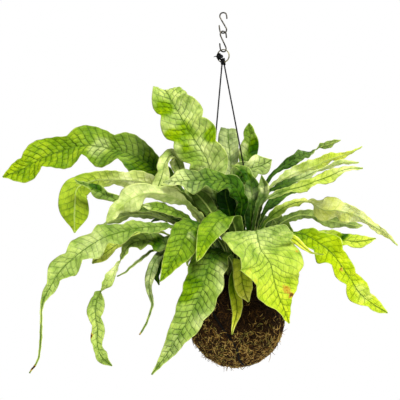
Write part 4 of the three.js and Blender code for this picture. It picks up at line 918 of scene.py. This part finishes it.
def mossHeight(direction):
    # how far the mat stands from the ball's centre in that direction
    point = Vector(direction) * ballRadius
    height = ballRadius - mossSet["sunk"]
    for size, rise in mossSet["lumps"]:
        height += rise * noise.noise(point / size)
    near = bindingTree.find(point)[2]
    height -= mossSet["grooveDepth"] * (1 - float(smooth(near, 0.5, mossSet["grooveRadius"])))
    if direction[2] * height < mossSet["flatSpot"]:
        height = mossSet["flatSpot"] / direction[2]
    return height


def makeMossMat():
    bm = bmesh.new()
    bmesh.ops.create_icosphere(bm, subdivisions=mossSet["detail"], radius=1)
    for vert in bm.verts:
        direction = vert.co.normalized()
        place = direction * mossHeight(direction)
        outward = math.hypot(place.x, place.y)
        if place.z > 0:
            # the mouth, where the soil shows between the stalks
            sunk = 1 - float(smooth(outward, mossSet["mouthRadius"] - 4, mossSet["mouthRadius"] + 1))
            place.z += (mossSet["mouthFloor"] - place.z) * sunk
        vert.co = (place + Vector(ballCentre)) * mm
    addPiece("mossMat", bm, [mossMatMaterial()], ["moss_shell"])


def fibreCurve(name):
    curve = bpy.data.curves.new(name, "CURVE")
    curve.dimensions = "3D"
    curve.bevel_depth = mossSet["fibreRadius"] * mm
    curve.bevel_resolution = 0
    curve.resolution_u = 1
    curve.use_fill_caps = False
    for finish in mossFibreFinishes:
        curve.materials.append(finish)
    return curve


def addFibre(curve, points, thickness, shade):
    spline = curve.splines.new("POLY")
    spline.points.add(len(points) - 1)
    for number, point in enumerate(points):
        spline.points[number].co = (*((point + ballCentre) * mm), 1)
        spline.points[number].radius = thickness[number]
    spline.material_index = shade


def fibrePiece(name, curve):
    # the curve's tubes become a mesh of their own
    holder = addObject(name + "_curve", curve)
    bpy.context.view_layer.update()
    finished = holder.evaluated_get(bpy.context.evaluated_depsgraph_get())
    mesh = bpy.data.meshes.new_from_object(finished)
    bpy.data.objects.remove(holder)
    placePiece(name, mesh, ())
    print(name, len(mesh.polygons) * 2, "triangles")


def shadeAt(rng, spot):
    # strands picked at random from the colours, with painted shade: black and brown ones above, where the
    # fronds shade the ball, golden and olive ones below, in broad patches
    patch = mossSet["patchReach"] * noise.noise(Vector(spot) / mossSet["patchSize"])
    low = float(smooth(patch - spot[2], *mossSet["shadesMeet"]))
    upper, lower = (np.array(mossSet[key]) for key in ("strandsInPaintedShade", "shadesBelow"))
    weights = upper * (1 - low) + lower * low
    return int(rng.choice(len(weights), p=weights / weights.sum()))


def makeMossFibres(rng):
    # strands that lie on the mat
    curve = fibreCurve("mossFibres")
    for _ in range(mossSet["fibres"]):
        direction = unit(rng.normal(size=3))
        if direction[2] > mossSet["fibreTop"]:
            continue
        sideways = unit(np.cross(direction, unit(rng.normal(size=3))))
        bend = np.cross(direction, sideways)
        length = rng.uniform(*mossSet["fibreLength"])
        arch = rng.uniform(*mossSet["fibreArch"])
        swerve = rng.uniform(-mossSet["fibreSwerve"], mossSet["fibreSwerve"]) * length
        end = rng.uniform(*mossSet["fibreEnd"])
        points = []
        for share, rise in ((-0.5, -mossSet["fibreSunk"]), (0, arch), (0.5, end)):
            spot = direction * ballRadius + sideways * share * length
            spot = unit(spot + bend * swerve * (1 - abs(2 * share)))
            points.append(spot * (mossHeight(spot) + mossSet["fibreLift"] + rise))
        if bindingTree.find(points[1])[2] < mossSet["cordClear"]:
            continue
        addFibre(curve, points, (0.5, 1, 0.3), shadeAt(rng, points[1]))
    fibrePiece("mossFibres", curve)


def makeMossStrays(rng):
    # strands that stand away from the mat, and those that lie on the soil in the mouth
    curve = fibreCurve("mossStrays")
    tufts = [unit(rng.normal(size=3) + mossSet["tuftBias"]) for _ in range(mossSet["tufts"])]
    for number in range(mossSet["strays"]):
        direction = unit(tufts[number % len(tufts)] + rng.normal(size=3) * mossSet["tuftSpread"])
        if direction[2] > mossSet["strayTop"]:
            continue
        sideways = unit(np.cross(direction, unit(rng.normal(size=3))))
        length = rng.uniform(*mossSet["strayLength"])
        lean = rng.uniform(*mossSet["strayLean"])
        droop = rng.uniform(0, mossSet["strayDroop"]) * length
        kink = rng.normal(size=3) * mossSet["strayKink"] * length
        base = mossHeight(direction) - mossSet["fibreSunk"]
        points = []
        for share in (0, 0.35, 0.7, 1):
            spot = direction * (base + length * share * lean)
            spot = spot + sideways * length * share * math.sqrt(1 - lean**2)
            points.append(spot + kink * math.sin(share * math.pi) - np.array((0, 0, droop * share**2)))
        addFibre(curve, points, (0.9, 0.9, 0.7, 0.3), shadeAt(rng, points[0]))
    for _ in range(mossSet["mouthFibres"]):
        angle = rng.uniform(0, 2 * math.pi)
        reach = (mossSet["mouthRadius"] + 3) * math.sqrt(rng.uniform(0.02, 1))
        spot = np.array((reach * math.cos(angle), reach * math.sin(angle), 0))
        level = mossSet["mouthLevel"] - mossSet["mouthDrop"] * (reach / mossSet["mouthRadius"]) ** 2
        way = rng.uniform(0, 2 * math.pi)
        length = rng.uniform(*mossSet["mouthFibreLength"])
        points = []
        for share, rise in ((-0.5, -1), (0, rng.uniform(0, mossSet["mouthFibreArch"])), (0.5, -0.6)):
            out = share * length
            points.append(spot + (out * math.cos(way), out * math.sin(way), level + rise))
        # the strands in the mouth take the painted shade of the ball's top
        addFibre(curve, points, (0.6, 1, 0.4), shadeAt(rng, (0, 0, 40)))
    fibrePiece("mossStrays", curve)


mossFibreFinishes = [mossFibreMaterial(number) for number in range(len(mossSet["colours"]))]
makeMossMat()
makeMossFibres(np.random.default_rng(11))
makeMossStrays(np.random.default_rng(12))
print("moss made")

# Soil: potting mix of peat and bark, which shows in the mouth between the stalks
soilSet = {"crumbs": 420, "crumbRadius": (0.8, 2.2), "top": 57, "edgeDrop": 7, "reach": 30, "dent": 0.25}


def soilMaterial():
    # moist peat with bark bits: very dark, matt, with lighter fibres
    material, add = newMaterial("moistPeat")
    place = add("TexCoord")["Object"]
    # crumbs of 1.5 mm, with fibres of 0.4 mm
    crumbs = add("TexVoronoi", {"Vector": place, "Scale": 650})["Distance"]
    grit = add("TexNoise", {"Vector": place, "Scale": 2500, "Detail": 4})["Fac"]
    colour = add("ValToRGB", {"Fac": grit}, ((0.35, "120b07"), (0.72, "5a4129"), (0.55, "2b1c11")))["Color"]
    bump = add("Bump", {"Height": crumbs, "Strength": 1, "Distance": 0.0008})["Normal"]
    shader = add("BsdfPrincipled", {"Base Color": colour, "Normal": bump, "Roughness": 0.9,
                                    "IOR": 1.4})["BSDF"]
    add("OutputMaterial", {"Surface": shader})
    return material


soilFinish = soilMaterial()
soilCore = bpy.data.objects["soil_core"]
soilCore.data.materials.clear()
soilCore.data.materials.append(soilFinish)


def makeSoilCrumbs(rng):
    bm = bmesh.new()
    for _ in range(soilSet["crumbs"]):
        angle = rng.uniform(0, 2 * math.pi)
        reach = soilSet["reach"] * math.sqrt(rng.uniform(0, 1))
        level = soilSet["top"] - soilSet["edgeDrop"] * (reach / soilSet["reach"]) ** 2
        centre = Vector((reach * math.cos(angle), reach * math.sin(angle), level + rng.uniform(-0.8, 0.6)))
        size = rng.uniform(*soilSet["crumbRadius"])
        crumb = bmesh.ops.create_icosphere(bm, subdivisions=2, radius=size)["verts"]
        squash = Vector(rng.uniform(0.6, 1.2, 3))
        for vert in crumb:
            vert.co = vert.co * squash * (1 + soilSet["dent"] * noise.noise(vert.co * 1.7 + centre))
            vert.co = (vert.co + centre + Vector(ballCentre)) * mm
    addPiece("soilCrumbs", bm, [soilFinish])


makeSoilCrumbs(np.random.default_rng(13))
print("soil made")

# Metal: two S-hooks and the split ring, from the frame's origin
hookSet = {
    "wireRadius": 0.9,
    "route": (
        (4.9, 4.6), (4.6, 8.2), (3.5, 11.5), (0, 12.8), (-3.5, 11.5), (-4.4, 8.4), (-2.6, 4.4), (0, 0),
        (2.6, -4.4), (4.4, -8.4), (3.5, -11.5), (0, -12.8), (-3.5, -11.5), (-4.6, -8.2), (-5.1, -4.6),
        (-5.3, -2.4),
    ),
    "places": {"upper_hook": (-11.9, -20), "lower_hook": (-35.1, 34)},  # height, and turn about the upright
    "steps": 120,
    "sides": 16,
    "tints": ("24231f", "6b675c"),
}
ringSet = {
    "radius": 8,
    "wireRadius": 0.55,
    "pitch": 1.25,
    "height": -53.25,
    "turn": -22,
    "halfTurns": 3.94,
    "steps": 150,
    "sides": 12,
    "tints": ("6a6547", "a49d72"),
}


def steelMaterial(name, tint, wornTint):
    # steel wire, drawn and gone dull: grey-brown, with brighter rubbed stretches and fine draw lines
    material, add = newMaterial(name)
    place = add("TexCoord")["Object"]
    # tarnish in 4 mm stretches, and 0.3 mm grain
    tarnish = add("TexNoise", {"Vector": place, "Scale": 250, "Detail": 4})["Fac"]
    grain = add("TexNoise", {"Vector": place, "Scale": 3500, "Detail": 2})["Fac"]
    colour = add("ValToRGB", {"Fac": tarnish}, ((0.35, tint), (0.68, wornTint)))["Color"]
    rough = add("MapRange", (tarnish, 0, 1, 0.25, 0.6))["Result"]
    bump = add("Bump", {"Height": grain, "Strength": 0.3, "Distance": 0.00005})["Normal"]
    shader = add("BsdfPrincipled", {"Base Color": colour, "Roughness": rough, "Normal": bump,
                                    "Metallic": 1})["BSDF"]
    add("OutputMaterial", {"Surface": shader})
    return material


def roundedEnds(radius, line):
    # a wire's radii, rounded off over its last radius at both ends
    length = lengthsTo(line)
    end = np.minimum(length, length[-1] - length) / radius
    return radius * np.sqrt(1 - (1 - np.clip(end, 0.05, 1)) ** 2)


def endDense(count):
    # even shares from 0 to 1, with more near both ends for the rounding
    extra = 0.004 * np.linspace(0, 1, 6)
    return np.unique(np.concatenate((np.linspace(0, 1, count), extra * 2, 1 - extra * 2)))


def placedWire(name, line, settings, turn, height, finish, node):
    # a wire turned about the upright, in degrees, and raised
    angle = math.radians(turn)
    x = line[:, 0] * math.cos(angle) - line[:, 1] * math.sin(angle)
    y = line[:, 0] * math.sin(angle) + line[:, 1] * math.cos(angle)
    line = np.stack((x, y, line[:, 2]), axis=1) + (0, 0, height)
    bm = newShape()
    addTube(bm, line, roundedEnds(settings["wireRadius"], line), settings["sides"], hookPoint)
    closedPiece(name, bm, [finish], [node])


hookFinish = steelMaterial("tarnishedSteelWire", *hookSet["tints"])
hookRoute = routeSampler([(x, 0, z) for x, z in hookSet["route"]])[0]
hookLine = hookRoute(endDense(hookSet["steps"]))
for name, (height, turn) in hookSet["places"].items():
    placedWire(name + "Wire", hookLine, hookSet, turn, height, hookFinish, name)

ringFinish = steelMaterial("brassedSpringSteel", *ringSet["tints"])
share = endDense(ringSet["steps"])
angle = math.pi * (1.5 + ringSet["halfTurns"] * share)
ringLine = np.stack((ringSet["radius"] * np.cos(angle), ringSet["pitch"] * (2 * share - 1),
                     ringSet["radius"] * np.sin(angle)), axis=1)
placedWire("splitRingWire", ringLine, ringSet, ringSet["turn"], ringSet["height"], ringFinish, "split_ring")
print("hooks and ring made")

# Knot and ties: turns of the same cord, drawn tight
knotSet = {
    "cordRadius": 1,
    "sides": 9,
    "steps": 90,
    "lump": (-4.6, -0.4, -0.6),  # from the ring's centre: a doubled overhand knot beside the ring's wire
    "lumpHalf": (3.7, 3.5, 3.3),
    "innerShare": 0.62,
    "whipping": ((-0.9, -0.2, -3.6), (0.2, 0, -10.6)),  # the turns round both cords, from top to bottom
    "whippingRadius": 2.2,
    "whippingTurns": 4,
    "tail": ((-6.6, -0.8, 0.4), (-8.6, -1.2, -0.5), (-10.4, -1.5, -0.7), (-12, -1.4, -1.4)),
    "tailSteps": 20,
    "ties": {"left": (-41.5, 0, 46), "right": (37, 0, 48.5)},  # from the ball's centre, at its shoulders
    "tieHalf": (2.5, 2.9, 2.1),
    "tieInnerShare": 0.6,
}


def addKnotLump(bm, half, innerShare, centre, origin):
    # a cord over and under itself round a lump, and again inside; a closed line's last ring lies in its first
    angle = 2 * math.pi * np.linspace(0, 1, knotSet["steps"])
    for turns, scale in ((3, 1), (4, innerShare)):
        out = 0.62 + 0.38 * np.cos(turns * angle)
        line = np.stack((out * np.cos((turns - 1) * angle), 0.9 * np.sin(turns * angle),
                         out * np.sin((turns - 1) * angle)), axis=1)
        addTube(bm, line * (np.array(half) * scale) + centre, knotSet["cordRadius"], knotSet["sides"], origin)


def addWhipping(bm, origin):
    start, end = np.array(knotSet["whipping"])
    turns = knotSet["whippingTurns"]
    share = np.linspace(0, 1, turns * 14)[:, None]
    angle = 2 * math.pi * turns * share
    axis = unit(end - start)
    side = unit(np.cross(axis, (0, 1, 0)))
    other = np.cross(axis, side)
    coil = knotSet["whippingRadius"] * (side * np.cos(angle) + other * np.sin(angle))
    addTube(bm, start + (end - start) * share + coil, knotSet["cordRadius"], knotSet["sides"], origin)


ringCentre = np.array((0, 0, ringSet["height"]))
bm = newShape()
addKnotLump(bm, knotSet["lumpHalf"], knotSet["innerShare"], knotSet["lump"], ringCentre)
addWhipping(bm, ringCentre)
tailRoute = routeSampler(knotSet["tail"])[0]
share = np.linspace(0, 1, knotSet["tailSteps"])
tailRadii = knotSet["cordRadius"] * (1.1 - 0.85 * share)
addTube(bm, tailRoute(share), tailRadii, knotSet["sides"], ringCentre)
closedPiece("ringKnotTurns", bm, [cordFinish], ["ring_knot"])

for side, centre in knotSet["ties"].items():
    bm = newShape()
    addKnotLump(bm, knotSet["tieHalf"], knotSet["tieInnerShare"], centre, ballCentre)
    closedPiece(f"tieTurns_{side}", bm, [cordFinish], [f"tie_{side}"])
print("knot and ties made")

# Floor, light and background
studioSet = {
    "floorDrop": 300,  # below the object's lowest point
    "floorSize": 2600,
    "fill": 0.33,
    "lights": {
        "key": {"place": (500, -1500, 1100), "size": 750, "power": 68},
        "side": {"place": (1100, 500, 700), "size": 700, "power": 12},
    },
}


def floorMaterial():
    # painted board: white and matt, with a faint mottle
    material, add = newMaterial("whitePaintedBoard")
    place = add("TexCoord")["Object"]
    mottle = add("TexNoise", {"Vector": place, "Scale": 6, "Detail": 2})["Fac"]
    colour = add("ValToRGB", {"Fac": mottle}, ((0.3, "f6f6f5"), (0.7, "fcfcfb")))["Color"]
    shader = add("BsdfPrincipled", {"Base Color": colour, "Roughness": 0.9})["BSDF"]
    add("OutputMaterial", {"Surface": shader})
    return material


def makeStudio():
    bm = bmesh.new()
    bmesh.ops.create_grid(bm, x_segments=1, y_segments=1, size=studioSet["floorSize"] / 2 * mm)
    level = cadLow[2] - studioSet["floorDrop"] * mm
    bmesh.ops.translate(bm, verts=bm.verts, vec=(0, 0, level))
    mesh = bpy.data.meshes.new("floor")
    bm.to_mesh(mesh)
    bm.free()
    mesh.materials.append(floorMaterial())
    addObject("floor", mesh)
    aim = Vector((0, 0, (cadLow[2] + cadHigh[2]) / 2))
    for name, settings in studioSet["lights"].items():
        data = bpy.data.lights.new(name, "AREA")
        data.size = settings["size"] * mm
        data.energy = settings["power"]
        light = addObject(name, data)
        light.location = Vector(settings["place"]) * mm
        light.rotation_euler = (aim - light.location).to_track_quat("-Z", "Y").to_euler()
    world = bpy.data.worlds.new("studio")
    add = emptyTree(world)
    # the backdrop is lit to white, and the fill that reaches the plant is softer
    seen = add("LightPath")["Is Camera Ray"]
    strength = add("MapRange", (seen, 0, 1, studioSet["fill"], 1))["Result"]
    back = add("Background", {"Color": "ffffff", "Strength": strength})["Background"]
    add("OutputWorld", {"Surface": back})
    bpy.context.scene.world = world
    bpy.context.scene.view_settings.view_transform = "Standard"


makeStudio()
print("studio made")
